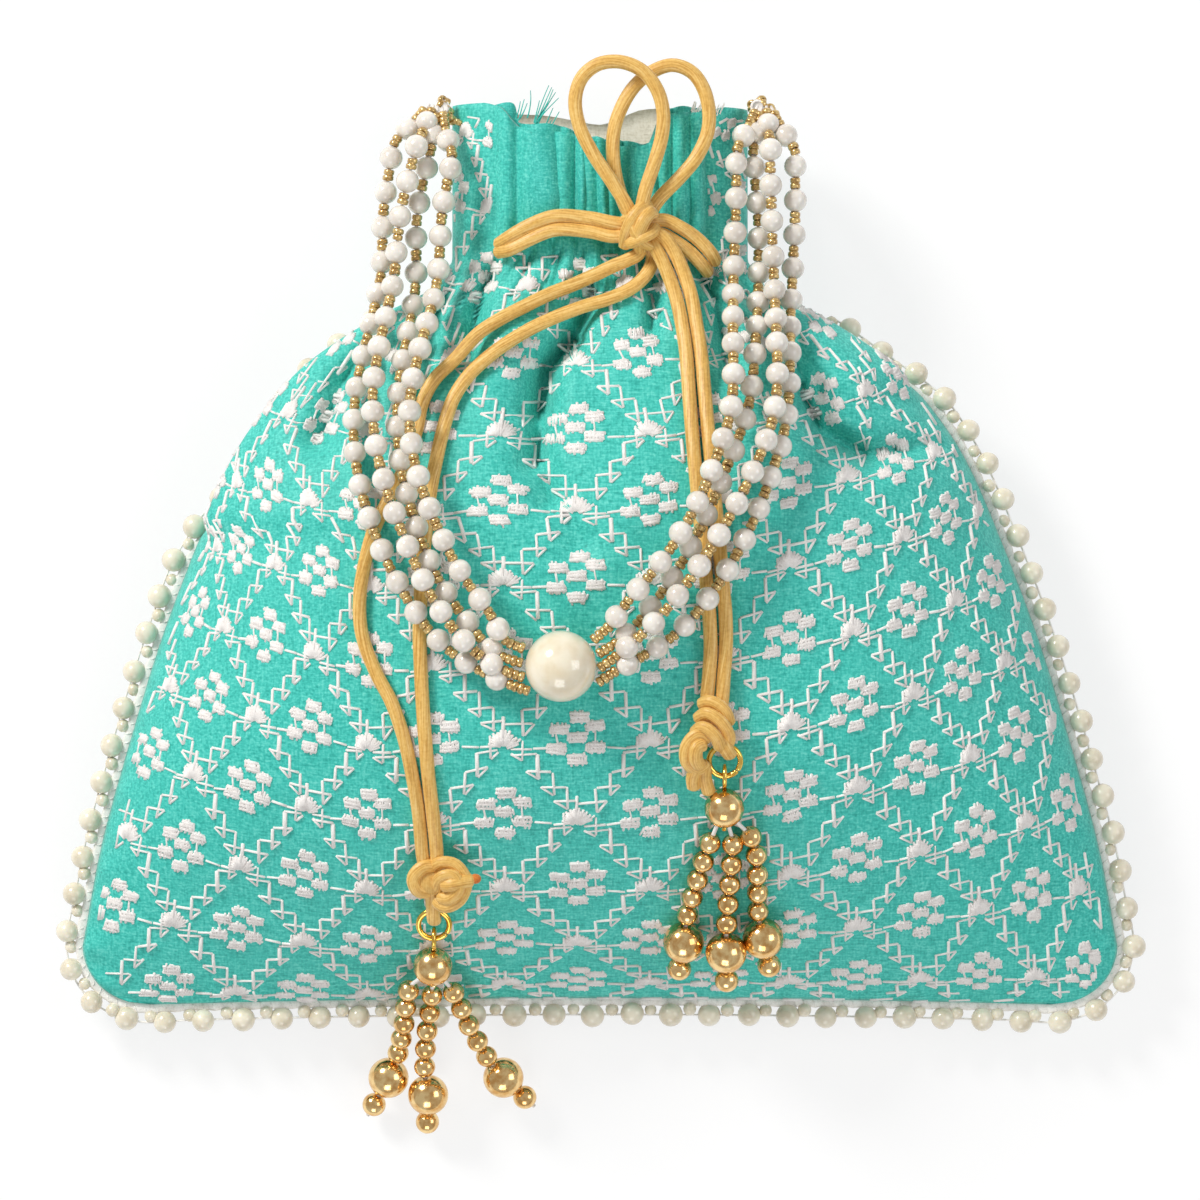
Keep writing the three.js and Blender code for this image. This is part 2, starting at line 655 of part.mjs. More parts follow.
function strandCurve(side, index) {
  const sign = side === "left" ? -1 : 1;
  const rank = -sign * (index - (STRANDS - 1) / 2);
  const closed = SEED + 2 * CLEARANCE;
  const nearest = Math.abs(rank * closed) - SEED / 2;
  const away = Math.sqrt((CENTER_PEARL / 2 + CLEARANCE) ** 2 - nearest ** 2);
  const axis = [Math.cos(CENTER.tilt), Math.sin(CENTER.tilt)];
  const seat = (out, off) => [
    CENTER.x + sign * (axis[0] * out + axis[1] * off),
    CENTER.y + sign * (axis[1] * out - axis[0] * off),
  ];
  const end = seat(CENTER_PEARL / 2, 0);
  const own = seat(away, rank * closed);
  const route = BUNDLES[side].map(([out, y]) => [sign * (NECK_HALF_WIDTH + out), y]);
  const middle = curveThrough([anchorPoint(sign), ...route, end].map(([x, y]) => [x, y, 0]));
  const samples = 26;
  const points = [];
  for (let i = 0; i <= samples; i++) {
    const t = i / samples;
    const open = ease(t / 0.06) * ease((1 - t) / 0.12);
    const pitch = mix(closed, STRAND_PITCH, open);
    const center = middle.getPointAt(t);
    const tangent = middle.getTangentAt(t);
    const settle = ease((t - 0.82) / 0.18);
    const x = mix(center.x - tangent.y * rank * pitch, center.x + own[0] - end[0], settle);
    const y = mix(center.y + tangent.x * rank * pitch, center.y + own[1] - end[1], settle);
    const overCords = (CORD + CLEARANCE) * ease((t - 0.3) / 0.12);
    const layer = open * STRAND_LAYER * (index % 2);
    const lying = restHeight(x, y, 0.8) + PEARL / 2 + CLEARANCE + overCords + layer;
    const z = mix(mix(anchorHeight(), lying, ease(t / 0.07)), pearlHeight(), ease((t - 0.85) / 0.15));
    points.push([x, y, z]);
  }
  return curveThrough(points);
}

function handleStrand(side, index) {
  const curve = strandCurve(side, index);
  const count = Math.round(curve.getLength() / BEAD_PITCH);
  const pitch = curve.getLength() / count;
  const stations = [[0, SEED / 2]];
  for (let i = 0; i < count; i++) {
    const seedsOnly = i < 1 || i > count - 3;
    stations.push([(i + 0.36) * pitch, (seedsOnly ? SEED : PEARL) / 2]);
    stations.push([(i + 0.86) * pitch, SEED / 2]);
  }
  stations.push([curve.getLength(), SEED / 2]);
  return part(`handle_strand_${side}_${index + 1}`, turnedAlong(curve, stations, 5), FINISH.pearl);
}

function handleAnchor(side) {
  const sign = side === "left" ? -1 : 1;
  const foot = seamHeight(MOUTH_Y) - 1;
  const head = anchorHeight() - SEED / 2 - CLEARANCE;
  const post = new THREE.CylinderGeometry(ANCHOR.radius, ANCHOR.radius, head - foot, 8);
  const mesh = part(`handle_anchor_${side}`, post, FINISH.thread);
  mesh.rotation.x = Math.PI / 2;
  const x = sign * (NECK_HALF_WIDTH + CLEARANCE + ANCHOR.radius);
  mesh.position.set(x, MOUTH_Y - ANCHOR.drop, (head + foot) / 2);
  return mesh;
}

function handle() {
  const group = new THREE.Group();
  for (const side of ["left", "right"]) {
    for (let index = 0; index < STRANDS; index++) group.add(handleStrand(side, index));
  }
  const center = [CENTER.x, CENTER.y, pearlHeight()];
  group.add(ball("handle_center_pearl", CENTER_PEARL, center, FINISH.centerPearl, 10));
  return group;
}

function bagBody() {
  const group = new THREE.Group();
  group.add(frontPanel(), backPanel(), lining(), neckCasing(), edgeTape(), edgePearls());
  group.add(handleAnchor("left"), handleAnchor("right"));
  return group;
}

function roundSection(radius, sides) {
  const corners = Array.from({ length: sides }, (_, k) => {
    const angle = (k / sides) * 2 * Math.PI;
    return new THREE.Vector2(radius * Math.cos(angle), radius * Math.sin(angle));
  });
  return new THREE.Shape(corners);
}

function cordGeometry(points, fewest = 4, sides = CORD_SIDES) {
  const path = curveThrough(points);
  const steps = Math.max(fewest, Math.round(path.getLength() / (3 * CORD)));
  const section = roundSection(CORD / 2, sides);
  return new THREE.ExtrudeGeometry(section, { steps, bevelEnabled: false, extrudePath: path });
}

function solidOf(geometry) {
  const bare = geometry.clone();
  bare.deleteAttribute("normal");
  bare.deleteAttribute("uv");
  const merged = mergeVertices(bare, 1e-4);
  const vertProperties = new Float32Array(merged.attributes.position.array);
  return new wasm.Manifold(
    new wasm.Mesh({ numProp: 3, vertProperties, triVerts: new Uint32Array(merged.index.array) }),
  );
}

function geometryFrom(solid) {
  const { vertProperties, triVerts } = solid.getMesh();
  const geometry = new THREE.BufferGeometry();
  geometry.setAttribute("position", new THREE.BufferAttribute(vertProperties, 3));
  geometry.setIndex(new THREE.BufferAttribute(triVerts, 1));
  return geometry;
}

function lump(center, [x, y, z]) {
  const geometry = new THREE.SphereGeometry(1, 8, 6);
  geometry.scale(x, y, z);
  return solidOf(geometry.translate(...center));
}

function knot(name, { core, size, wraps, top }) {
  let solid = lump(core, size);
  for (const wrap of wraps) solid = solid.add(solidOf(cordGeometry(wrap, 3, WRAP_SIDES)));
  if (top) {
    const eye = RING_WIRE / 2 + 2 * CLEARANCE;
    const lobe = lump(top, [CORD / 2 + CLEARANCE, eye + CORD / 2, eye + CORD / 2]);
    const start = mixPoints(top, core, (eye + CORD / 3) / distance(top, core));
    const neck = cordGeometry([start, core], 1, WRAP_SIDES);
    const bore = new THREE.CylinderGeometry(eye, eye, 4 * CORD, 10).rotateZ(Math.PI / 2);
    solid = solid.add(solidOf(neck)).add(lobe).subtract(solidOf(bore.translate(...top)));
  }
  return part(name, geometryFrom(solid), FINISH.satin);
}

const mixPoints = (a, b, t) => a.map((value, k) => mix(value, b[k], t));
const distance = (a, b) => Math.hypot(...a.map((value, k) => value - b[k]));

// The point at a distance from another along a line.
function beyond(point, line, length) {
  const scale = length / Math.hypot(...line);
  return point.map((value, k) => value + line[k] * scale);
}

function wireRing(name, diameter, wire, segments) {
  return part(name, new THREE.TorusGeometry(diameter / 2, wire / 2, 5, segments), FINISH.wire);
}

// A string of small beads from the head bead down, then a ball and a tip bead, spaced by their sizes.
function drop(name, bead, route) {
  const start = beyond(bead, route[0].map((value, k) => value - bead[k]), TASSEL_BEAD / 2 + CLEARANCE);
  const curve = curveThrough([start, ...route]);
  const at = (length) => curve.getPointAt(clamp01(length / curve.getLength())).toArray();
  const first = DROP_THREAD_LENGTH + DROP_BEAD / 2;
  const stations = [[0, DROP_THREAD / 2]];
  for (let i = 0; i < DROP_BEADS; i++) {
    stations.push([first + (i - 0.45) * DROP_BEAD, DROP_THREAD / 2]);
    stations.push([first + i * DROP_BEAD, DROP_BEAD / 2]);
  }
  const end = first + (DROP_BEADS - 0.5) * DROP_BEAD;
  stations.push([end, DROP_THREAD / 2]);
  const ballAt = end + CLEARANCE + DROP_BALL / 2;
  const tipAt = ballAt + DROP_BALL / 2 + CLEARANCE + DROP_TIP / 2;
  return [
    part(`${name}_beads`, turnedAlong(curve, stations, 5), FINISH.gold),
    ball(`${name}_ball`, DROP_BALL, at(ballAt), FINISH.gold, 8),
    ball(`${name}_tip`, DROP_TIP, at(tipAt), FINISH.gold, 6),
  ];
}

function tassel(side) {
  const { top, ringLine, beadLine, drops } = TASSELS[side];
  const ring = wireRing(`tassel_${side}_ring`, RING_DIAMETER, RING_WIRE, 12);
  ring.position.set(...beyond(top, ringLine, RING_DIAMETER / 2));
  ring.rotation.x = Math.atan2(ringLine[2], ringLine[1]) + Math.PI;
  const foot = beyond(top, ringLine, RING_DIAMETER);
  const eye = wireRing(`tassel_${side}_eye`, EYE_DIAMETER, EYE_WIRE, 8);
  eye.position.set(...foot);
  eye.rotation.y = Math.PI / 2;
  const bead = beyond(foot, beadLine, (EYE_DIAMETER + EYE_WIRE + TASSEL_BEAD) / 2 + CLEARANCE);
  const group = new THREE.Group();
  group.add(ring, eye, ball(`tassel_${side}_head_bead`, TASSEL_BEAD, bead, FINISH.gold, 8));
  drops.forEach((route, i) => group.add(...drop(`tassel_${side}_drop_${i + 1}`, bead, route)));
  return group;
}

function drawstrings() {
  const group = new THREE.Group();
  for (const [name, points] of Object.entries(CORDS)) {
    group.add(part(name, cordGeometry(points), FINISH.satin));
  }
  group.add(knot("bow_knot", BOW_KNOT));
  for (const side of ["left", "right"]) {
    group.add(knot(`end_knot_${side}`, TASSELS[side]), tassel(side));
  }
  return group;
}

const group = new THREE.Group();
group.name = "potli_bag";
group.add(bagBody(), handle(), drawstrings());

export default group;
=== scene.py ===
"""A potli bag lying on its back, with its pearl handle, satin drawstrings and gold bead tassels."""

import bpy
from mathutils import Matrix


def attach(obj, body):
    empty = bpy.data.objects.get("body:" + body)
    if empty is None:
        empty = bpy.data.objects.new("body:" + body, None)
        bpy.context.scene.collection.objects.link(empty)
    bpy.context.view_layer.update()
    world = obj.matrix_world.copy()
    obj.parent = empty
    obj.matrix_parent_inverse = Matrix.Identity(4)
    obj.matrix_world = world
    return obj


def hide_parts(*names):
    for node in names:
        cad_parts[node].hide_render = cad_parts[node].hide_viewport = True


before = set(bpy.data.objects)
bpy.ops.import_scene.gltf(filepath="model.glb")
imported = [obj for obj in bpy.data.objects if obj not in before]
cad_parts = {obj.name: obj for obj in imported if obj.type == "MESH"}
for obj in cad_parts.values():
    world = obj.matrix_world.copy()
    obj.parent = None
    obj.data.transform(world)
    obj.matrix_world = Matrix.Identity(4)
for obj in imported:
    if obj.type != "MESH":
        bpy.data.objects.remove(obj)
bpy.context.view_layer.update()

import logging
import math
from dataclasses import dataclass, field
from enum import Enum

import bpy
import numpy as np

LOG = logging.getLogger("potli_bag")
MM = 0.001
SEED_NUMBER = 7

Point = tuple[float, float, float]
Route = list[Point]


class Side(Enum):
    """The two sides of the bag, as seen from above with the mouth up."""

    LEFT = "left"
    RIGHT = "right"

    @property
    def sign(self) -> int:
        """Minus one on the left and one on the right."""
        return -1 if self is Side.LEFT else 1


class Body(Enum):
    """The bodies that the pieces ride on."""

    BAG = "bag"
    HANDLE = "handle"
    TASSEL_LEFT = "tassel_left"
    TASSEL_RIGHT = "tassel_right"


def clamp01(values: np.ndarray | float) -> np.ndarray:
    """Values held between 0 and 1."""
    return np.clip(values, 0.0, 1.0)


def ease(values: np.ndarray | float) -> np.ndarray:
    """Smooth step from 0 to 1."""
    held = clamp01(values)
    return held * held * (3 - 2 * held)


def mix(low: np.ndarray | float, high: np.ndarray | float, share: np.ndarray | float) -> np.ndarray:
    """The value that lies at a share of the way from low to high."""
    return low + (high - low) * share


def through(knots: list[tuple[float, float]], at: np.ndarray) -> np.ndarray:
    """Smooth value through rising knots.

    Args:
        knots: Pairs of place and value, with rising places.
        at: Where the value is wanted.

    Returns:
        The value at each place, level outside the knots.
    """
    places = np.array([place for place, _ in knots], float)
    values = np.array([value for _, value in knots], float)
    slopes = np.empty_like(values)
    slopes[1:-1] = (values[2:] - values[:-2]) / (places[2:] - places[:-2])
    slopes[0] = (values[1] - values[0]) / (places[1] - places[0])
    slopes[-1] = (values[-1] - values[-2]) / (places[-1] - places[-2])
    held = np.clip(at, places[0], places[-1])
    index = np.clip(np.searchsorted(places, held, side="right") - 1, 0, len(places) - 2)
    step = places[index + 1] - places[index]
    share = (held - places[index]) / step
    bend = step * share * (1 - share) * ((1 - share) * slopes[index] - share * slopes[index + 1])
    return mix(values[index], values[index + 1], ease(share)) + bend


def smooth_route(points: Route, count: int) -> np.ndarray:
    """Evenly spaced points on a centripetal Catmull-Rom curve.

    Args:
        points: The points that the curve passes through.
        count: How many points are wanted.

    Returns:
        An array of points, count by 3.
    """
    given = np.array(points, float)
    padded = np.vstack([2 * given[0] - given[1], given, 2 * given[-1] - given[-2]])
    fine = []
    for i in range(len(given) - 1):
        p0, p1, p2, p3 = padded[i : i + 4]
        pairs = ((p0, p1), (p1, p2), (p2, p3))
        knots = np.cumsum([0.0] + [max(np.linalg.norm(b - a), 1e-6) ** 0.5 for a, b in pairs])
        t = np.linspace(knots[1], knots[2], 24, endpoint=False)[:, None]
        a1 = (knots[1] - t) / (knots[1] - knots[0]) * p0 + (t - knots[0]) / (knots[1] - knots[0]) * p1
        a2 = (knots[2] - t) / (knots[2] - knots[1]) * p1 + (t - knots[1]) / (knots[2] - knots[1]) * p2
        a3 = (knots[3] - t) / (knots[3] - knots[2]) * p2 + (t - knots[2]) / (knots[3] - knots[2]) * p3
        b1 = (knots[2] - t) / (knots[2] - knots[0]) * a1 + (t - knots[0]) / (knots[2] - knots[0]) * a2
        b2 = (knots[3] - t) / (knots[3] - knots[1]) * a2 + (t - knots[1]) / (knots[3] - knots[1]) * a3
        fine.append((knots[2] - t) / (knots[2] - knots[1]) * b1 + (t - knots[1]) / (knots[2] - knots[1]) * b2)
    fine.append(given[-1:])
    return spaced(np.vstack(fine), count)


def route_length(points: np.ndarray) -> float:
    """Length of a polyline."""
    return float(np.linalg.norm(np.diff(points, axis=0), axis=1).sum())


def spaced(points: np.ndarray, count: int) -> np.ndarray:
    """The same polyline with its points evenly spaced.

    Args:
        points: Points of the polyline.
        count: How many points it gets.

    Returns:
        The new points.
    """
    along = np.concatenate([[0], np.cumsum(np.linalg.norm(np.diff(points, axis=0), axis=1))])
    wanted = np.linspace(0, along[-1], count)
    return np.stack([np.interp(wanted, along, points[:, k]) for k in range(3)], axis=1)


class Outline:
    """A polyline that gives points and directions by the distance along it."""

    def __init__(self, points: np.ndarray) -> None:
        """Keeps the points and the distance to each.

        Args:
            points: Points of the line.
        """
        self.points = points
        self.along = np.concatenate([[0], np.cumsum(np.linalg.norm(np.diff(points, axis=0), axis=1))])
        self.length = float(self.along[-1])

    def at(self, distance: float) -> np.ndarray:
        """The point at a distance from the start."""
        return np.array([np.interp(distance, self.along, self.points[:, k]) for k in range(3)])

    def heading(self, distance: float, reach: float = 0.4) -> np.ndarray:
        """The direction at a distance from the start."""
        step = self.at(distance + reach) - self.at(distance - reach)
        return step / max(np.linalg.norm(step), 1e-9)


class Solid:
    """Points, faces and texture coordinates gathered for one mesh, in millimetres."""

    def __init__(self) -> None:
        """Starts empty."""
        self.points: list[np.ndarray] = []
        self.quads: list[np.ndarray] = []
        self.triangles: list[np.ndarray] = []
        self.coordinates: list[np.ndarray] = []
        self.count = 0

    def add(
        self,
        points: np.ndarray,
        quads: np.ndarray | None = None,
        triangles: np.ndarray | None = None,
        coordinates: np.ndarray | None = None,
    ) -> None:
        """Adds a patch.

        Args:
            points: Its points.
            quads: Its four-sided faces, counted from its own first point.
            triangles: Its three-sided faces, counted the same way.
            coordinates: A texture coordinate for each point.
        """
        self.points.append(points)
        if quads is not None and len(quads):
            self.quads.append(np.asarray(quads) + self.count)
        if triangles is not None and len(triangles):
            self.triangles.append(np.asarray(triangles) + self.count)
        self.coordinates.append(coordinates if coordinates is not None else np.zeros((len(points), 2)))
        self.count += len(points)

    def build(self, name: str, material: bpy.types.Material, smooth: bool = True) -> bpy.types.Object:
        """Makes the Blender object.

        Args:
            name: The object's name.
            material: Its material.
            smooth: Whether its faces are shaded smooth.

        Returns:
            The new object, in metres.
        """
        points = np.vstack(self.points) * MM
        groups = [np.vstack(group) for group in (self.quads, self.triangles) if group]
        loops = np.concatenate([group.ravel() for group in groups]).astype(np.int32)
        totals = np.concatenate([np.full(len(group), group.shape[1]) for group in groups]).astype(np.int32)
        starts = np.concatenate([[0], np.cumsum(totals)[:-1]]).astype(np.int32)
        mesh = bpy.data.meshes.new(name)
        mesh.vertices.add(len(points))
        mesh.vertices.foreach_set("co", points.ravel())
        mesh.loops.add(len(loops))
        mesh.loops.foreach_set("vertex_index", loops)
        mesh.polygons.add(len(totals))
        mesh.polygons.foreach_set("loop_start", starts)
        mesh.polygons.foreach_set("loop_total", totals)
        mesh.polygons.foreach_set("use_smooth", np.full(len(totals), smooth))
        layer = mesh.uv_layers.new(name="UVMap")
        layer.data.foreach_set("uv", np.vstack(self.coordinates)[loops].ravel())
        mesh.update(calc_edges=True)
        mesh.validate()
        mesh.materials.append(material)
        made = bpy.data.objects.new(name, mesh)
        bpy.context.scene.collection.objects.link(made)
        return made


def grid_quads(rows: int, columns: int, wraps: bool = False) -> np.ndarray:
    """Faces of a grid whose normals point up when rows run down and columns to the right.

    Args:
        rows: Number of rows.
        columns: Number of points in a row.
        wraps: Whether each row closes on itself.

    Returns:
        The faces.
    """
    across = columns if wraps else columns - 1
    r, c = np.meshgrid(np.arange(rows - 1), np.arange(across), indexing="ij")
    a = r * columns + c
    b = r * columns + (c + 1) % columns
    return np.stack([a, a + columns, b + columns, b], axis=-1).reshape(-1, 4)


def sheet_patch(upper: np.ndarray, lower: np.ndarray) -> tuple[np.ndarray, np.ndarray, np.ndarray]:
    """A sheet with thickness from two grids of points.

    Args:
        upper: Points of the upper face, rows by columns by 3.
        lower: Points of the lower face, the same way.

    Returns:
        Points, four-sided faces and texture coordinates.
    """
    rows, columns = upper.shape[:2]
    size = rows * columns
    top = grid_quads(rows, columns)
    rim = np.concatenate([
        np.arange(columns - 1),
        np.arange(rows - 1) * columns + columns - 1,
        (rows - 1) * columns + np.arange(columns - 1, 0, -1),
        np.arange(rows - 1, 0, -1) * columns,
    ])
    after = np.roll(rim, -1)
    sides = np.stack([rim, after, after + size, rim + size], axis=1)
    points = np.vstack([upper.reshape(-1, 3), lower.reshape(-1, 3)])
    return points, np.vstack([top, top[:, ::-1] + size, sides]), points[:, :2] * MM


def frames_along(path: np.ndarray) -> tuple[np.ndarray, np.ndarray]:
    """Two directions across a path at each point, turning as little as they can.

    Args:
        path: Points of the path.

    Returns:
        The two directions at each point.
    """
    heading = np.gradient(path, axis=0)
    heading /= np.maximum(np.linalg.norm(heading, axis=1, keepdims=True), 1e-9)
    first = np.cross(heading[0], [0.0, 0.0, 1.0])
    if np.linalg.norm(first) < 0.1:
        first = np.cross(heading[0], [0.0, 1.0, 0.0])
    across = np.empty_like(path)
    across[0] = first / np.linalg.norm(first)
    for i in range(1, len(path)):
        side = across[i - 1] - heading[i] * np.dot(across[i - 1], heading[i])
        across[i] = side / max(np.linalg.norm(side), 1e-9)
    return across, np.cross(across, heading)


def tube_patch(
    path: np.ndarray, radius: np.ndarray | float, sides: int, flatness: float = 1.0
) -> tuple[np.ndarray, np.ndarray, np.ndarray, np.ndarray]:
    """A closed tube along a path.

    Args:
        path: Its middle line.
        radius: Its radius, one number or one for each point of the path.
        sides: Points round it.
        flatness: Its height over its width.

    Returns:
        Points, four-sided faces, three-sided faces and texture coordinates (turns round, millimetres along).
    """
    across, over = frames_along(path)
    radii = np.broadcast_to(np.asarray(radius, float), (len(path),))
    angle = np.linspace(0, 2 * math.pi, sides, endpoint=False)
    raised = flatness * np.sin(angle)
    ring = across[:, None] * np.cos(angle)[None, :, None] + over[:, None] * raised[None, :, None]
    points = (path[:, None] + ring * radii[:, None, None]).reshape(-1, 3)
    along = np.concatenate([[0], np.cumsum(np.linalg.norm(np.diff(path, axis=0), axis=1))])
    turns = angle / (2 * math.pi)
    coordinates = np.stack(np.broadcast_arrays(turns[None, :], along[:, None]), axis=-1).reshape(-1, 2)
    last = (len(path) - 1) * sides
    k = np.arange(sides)
    following = (k + 1) % sides
    size = len(points)
    caps = np.vstack([
        np.stack([np.full(sides, size), k, following], axis=1),
        np.stack([np.full(sides, size + 1), last + following, last + k], axis=1),
    ])
    points = np.vstack([points, path[0], path[-1]])
    coordinates = np.vstack([coordinates, coordinates[0], coordinates[last]])
    return points, grid_quads(len(path), sides, True)[:, ::-1], caps, coordinates


def ball_patch(center: np.ndarray, diameter: float, segments: int, stretch: Point = (1, 1, 1)) -> tuple:
    """A round bead as points, four-sided faces and three-sided faces.

    Args:
        center: Its middle.
        diameter: Its diameter.
        segments: Points round it.
        stretch: Scale along each axis.

    Returns:
        Points, four-sided faces and three-sided faces.
    """
    rings = segments // 2
    polar = np.linspace(0, math.pi, rings + 1)[1:-1]
    angle = np.linspace(0, 2 * math.pi, segments, endpoint=False)
    points = np.stack([
        np.sin(polar)[:, None] * np.cos(angle)[None, :],
        np.sin(polar)[:, None] * np.sin(angle)[None, :],
        np.broadcast_to(np.cos(polar)[:, None], (rings - 1, segments)),
    ], axis=-1).reshape(-1, 3)
    points = np.vstack([points, [0, 0, 1], [0, 0, -1]])
    k = np.arange(segments)
    following = (k + 1) % segments
    last = (rings - 2) * segments
    caps = np.vstack([
        np.stack([np.full(segments, len(points) - 2), k, following], axis=1),
        np.stack([np.full(segments, len(points) - 1), last + following, last + k], axis=1),
    ])
    return points * np.array(stretch) * diameter / 2 + center, grid_quads(rings - 1, segments, True), caps


def barrel_patch(
    center: np.ndarray, heading: np.ndarray, length: float, diameter: float, sides: int
) -> tuple:
    """A seed bead with rounded ends, pierced along its string, as points and four-sided faces.

    Args:
        center: Its middle.
        heading: Direction of its hole.
        length: Its length.
        diameter: Its diameter.
        sides: Points round it.

    Returns:
        Points and four-sided faces.
    """
    across = np.cross(heading, [0.0, 0.0, 1.0])
    across = across / max(np.linalg.norm(across), 1e-6)
    over = np.cross(across, heading)
    profile = np.array([(-0.5, 0.42), (-0.5, 0.8), (-0.3, 1.0), (0.3, 1.0), (0.5, 0.8), (0.5, 0.42)])
    angle = np.linspace(0, 2 * math.pi, sides, endpoint=False)
    ring = across * np.cos(angle)[:, None] + over * np.sin(angle)[:, None]
    lengthwise = profile[:, 0, None, None] * length * heading
    points = center + lengthwise + profile[:, 1, None, None] * ring * diameter / 2
    rows = len(profile)
    inner = grid_quads(rows, sides, True)
    k = np.arange(sides)
    following = (k + 1) % sides
    bore = np.stack([k, following, (rows - 1) * sides + following, (rows - 1) * sides + k], axis=1)
    return points.reshape(-1, 3), np.vstack([inner[:, ::-1], bore[:, ::-1]])


class ShaderTree:
    """A new material's nodes, with short ways to add and join them."""

    def __init__(self, name: str) -> None:
        """Makes the material with its principled shader.

        Args:
            name: Name of the material.
        """
        self.material = bpy.data.materials.new(name)
        self.material.use_nodes = True
        self.nodes = self.material.node_tree.nodes
        self.links = self.material.node_tree.links
        self.shader = self.nodes["Principled BSDF"]
        self.place = self.nodes.new("ShaderNodeTexCoord")

    def set(self, **values: float | tuple) -> None:
        """Sets sockets of the principled shader, with spaces written as underscores."""
        for name, value in values.items():
            self.shader.inputs[name.replace("_", " ")].default_value = value

    def node(self, kind: str, inputs: dict[str, object] | None = None, **settings: object) -> bpy.types.Node:
        """Adds a node.

        Args:
            kind: The node's type.
            inputs: Sockets to join or numbers to set on its inputs.
            settings: Its own properties.

        Returns:
            The new node.
        """
        made = self.nodes.new(kind)
        for name, value in settings.items():
            setattr(made, name, value)
        for name, value in (inputs or {}).items():
            socket = made.inputs[int(name)] if name.isdigit() else made.inputs[name]
            if isinstance(value, bpy.types.NodeSocket):
                self.links.new(value, socket)
            else:
                socket.default_value = value
        return made

    def stretched(self, scale: Point, source: str = "Object") -> bpy.types.NodeSocket:
        """Coordinates scaled by a different amount along each axis."""
        mapping = self.node("ShaderNodeMapping", {"Vector": self.place.outputs[source], "Scale": scale})
        return mapping.outputs["Vector"]

    def noise(self, vector: bpy.types.NodeSocket, scale: float, detail: float = 3.0) -> bpy.types.NodeSocket:
        """Noise from 0 to 1."""
        made = self.node("ShaderNodeTexNoise", {"Vector": vector, "Scale": scale, "Detail": detail})
        return made.outputs["Fac"]

    def math(self, operation: str, first: object, second: object = 0.0) -> bpy.types.NodeSocket:
        """The result of a sum, product or other operation."""
        return self.node("ShaderNodeMath", {"0": first, "1": second}, operation=operation).outputs[0]

    def ramp(self, value: bpy.types.NodeSocket, stops: list[tuple[float, tuple]]) -> bpy.types.NodeSocket:
        """A colour that follows a value through stops.

        Args:
            value: The value that it follows.
            stops: Pairs of place, from nought to one, and colour.

        Returns:
            The colour.
        """
        made = self.node("ShaderNodeValToRGB", {"Fac": value})
        elements = made.color_ramp.elements
        while len(elements) < len(stops):
            elements.new(0.5)
        for element, (place, color) in zip(elements, stops):
            element.position = place
            element.color = (*color, 1.0)
        return made.outputs["Color"]

    def tint(self, share: object, first: object, second: object, blend: str = "MIX") -> bpy.types.NodeSocket:
        """One colour mixed into another.

        Args:
            share: How much of the second colour shows, from nought to one.
            first: The first colour.
            second: The second colour.
            blend: Blend type of the mix node.

        Returns:
            The mixed colour.
        """
        made = self.node("ShaderNodeMix", data_type="RGBA", blend_type=blend)
        for socket, value in ((made.inputs[0], share), (made.inputs[6], first), (made.inputs[7], second)):
            if isinstance(value, bpy.types.NodeSocket):
                self.links.new(value, socket)
            else:
                socket.default_value = value if isinstance(value, float) else (*value, 1.0)
        return made.outputs[2]

    def color(self, socket: bpy.types.NodeSocket) -> None:
        """Joins the base colour."""
        self.links.new(socket, self.shader.inputs["Base Color"])

    def roughness(self, value: bpy.types.NodeSocket, low: float, high: float) -> None:
        """Joins the roughness to a value spread between two limits."""
        spread = self.node("ShaderNodeMapRange", {"Value": value, "To Min": low, "To Max": high})
        self.links.new(spread.outputs[0], self.shader.inputs["Roughness"])

    def bump(self, height: bpy.types.NodeSocket, depth: float, strength: float = 1.0) -> None:
        """Joins the surface relief, with its depth in metres."""
        relief = self.node("ShaderNodeBump", {"Height": height, "Distance": depth, "Strength": strength})
        self.links.new(relief.outputs["Normal"], self.shader.inputs["Normal"])


def srgb(red: int, green: int, blue: int) -> tuple[float, float, float]:
    """A screen colour as linear light."""
    parts = (value / 255 for value in (red, green, blue))
    return tuple(v / 12.92 if v <= 0.04045 else ((v + 0.055) / 1.055) ** 2.4 for v in parts)


@dataclass(frozen=True)
class SlubCloth:
    """A plain weave with uneven threads: the turquoise silk, the casing and the lining."""

    name: str
    base: Point
    shade: Point
    light: Point
    thread_pitch: float = 0.42
    relief: float = 0.09
    roughness: tuple[float, float] = (0.5, 0.68)
    sheen: float = 0.25

    def build(self) -> bpy.types.Material:
        """Makes the material.

        Returns:
            The material.
        """
        tree = ShaderTree(self.name)
        across = 1.0 / (self.thread_pitch * MM)
        along = across / 7
        weft = tree.noise(tree.stretched((along, across, across)), 1.0, 2.0)
        warp = tree.noise(tree.stretched((across, along, along)), 1.0, 2.0)
        weave = tree.math("ADD", tree.math("MULTIPLY", weft, 0.6), tree.math("MULTIPLY", warp, 0.4))
        speckle = tree.noise(tree.stretched((across, across, across)), 0.75, 2.0)
        grain = tree.math("ADD", tree.math("MULTIPLY", weave, 0.62), tree.math("MULTIPLY", speckle, 0.38))
        color = tree.ramp(grain, [(0.36, self.shade), (0.5, self.base), (0.64, self.light)])
        cloud = tree.noise(tree.stretched((1.0, 1.0, 1.0)), 55.0, 2.0)
        tree.color(tree.tint(tree.math("MULTIPLY", cloud, 0.35), color, self.base))
        tree.roughness(grain, *self.roughness)
        tree.bump(grain, self.relief * MM, 0.9)
        tree.set(Sheen_Weight=self.sheen, Sheen_Roughness=0.4, Specular_IOR_Level=0.35)
        return tree.material


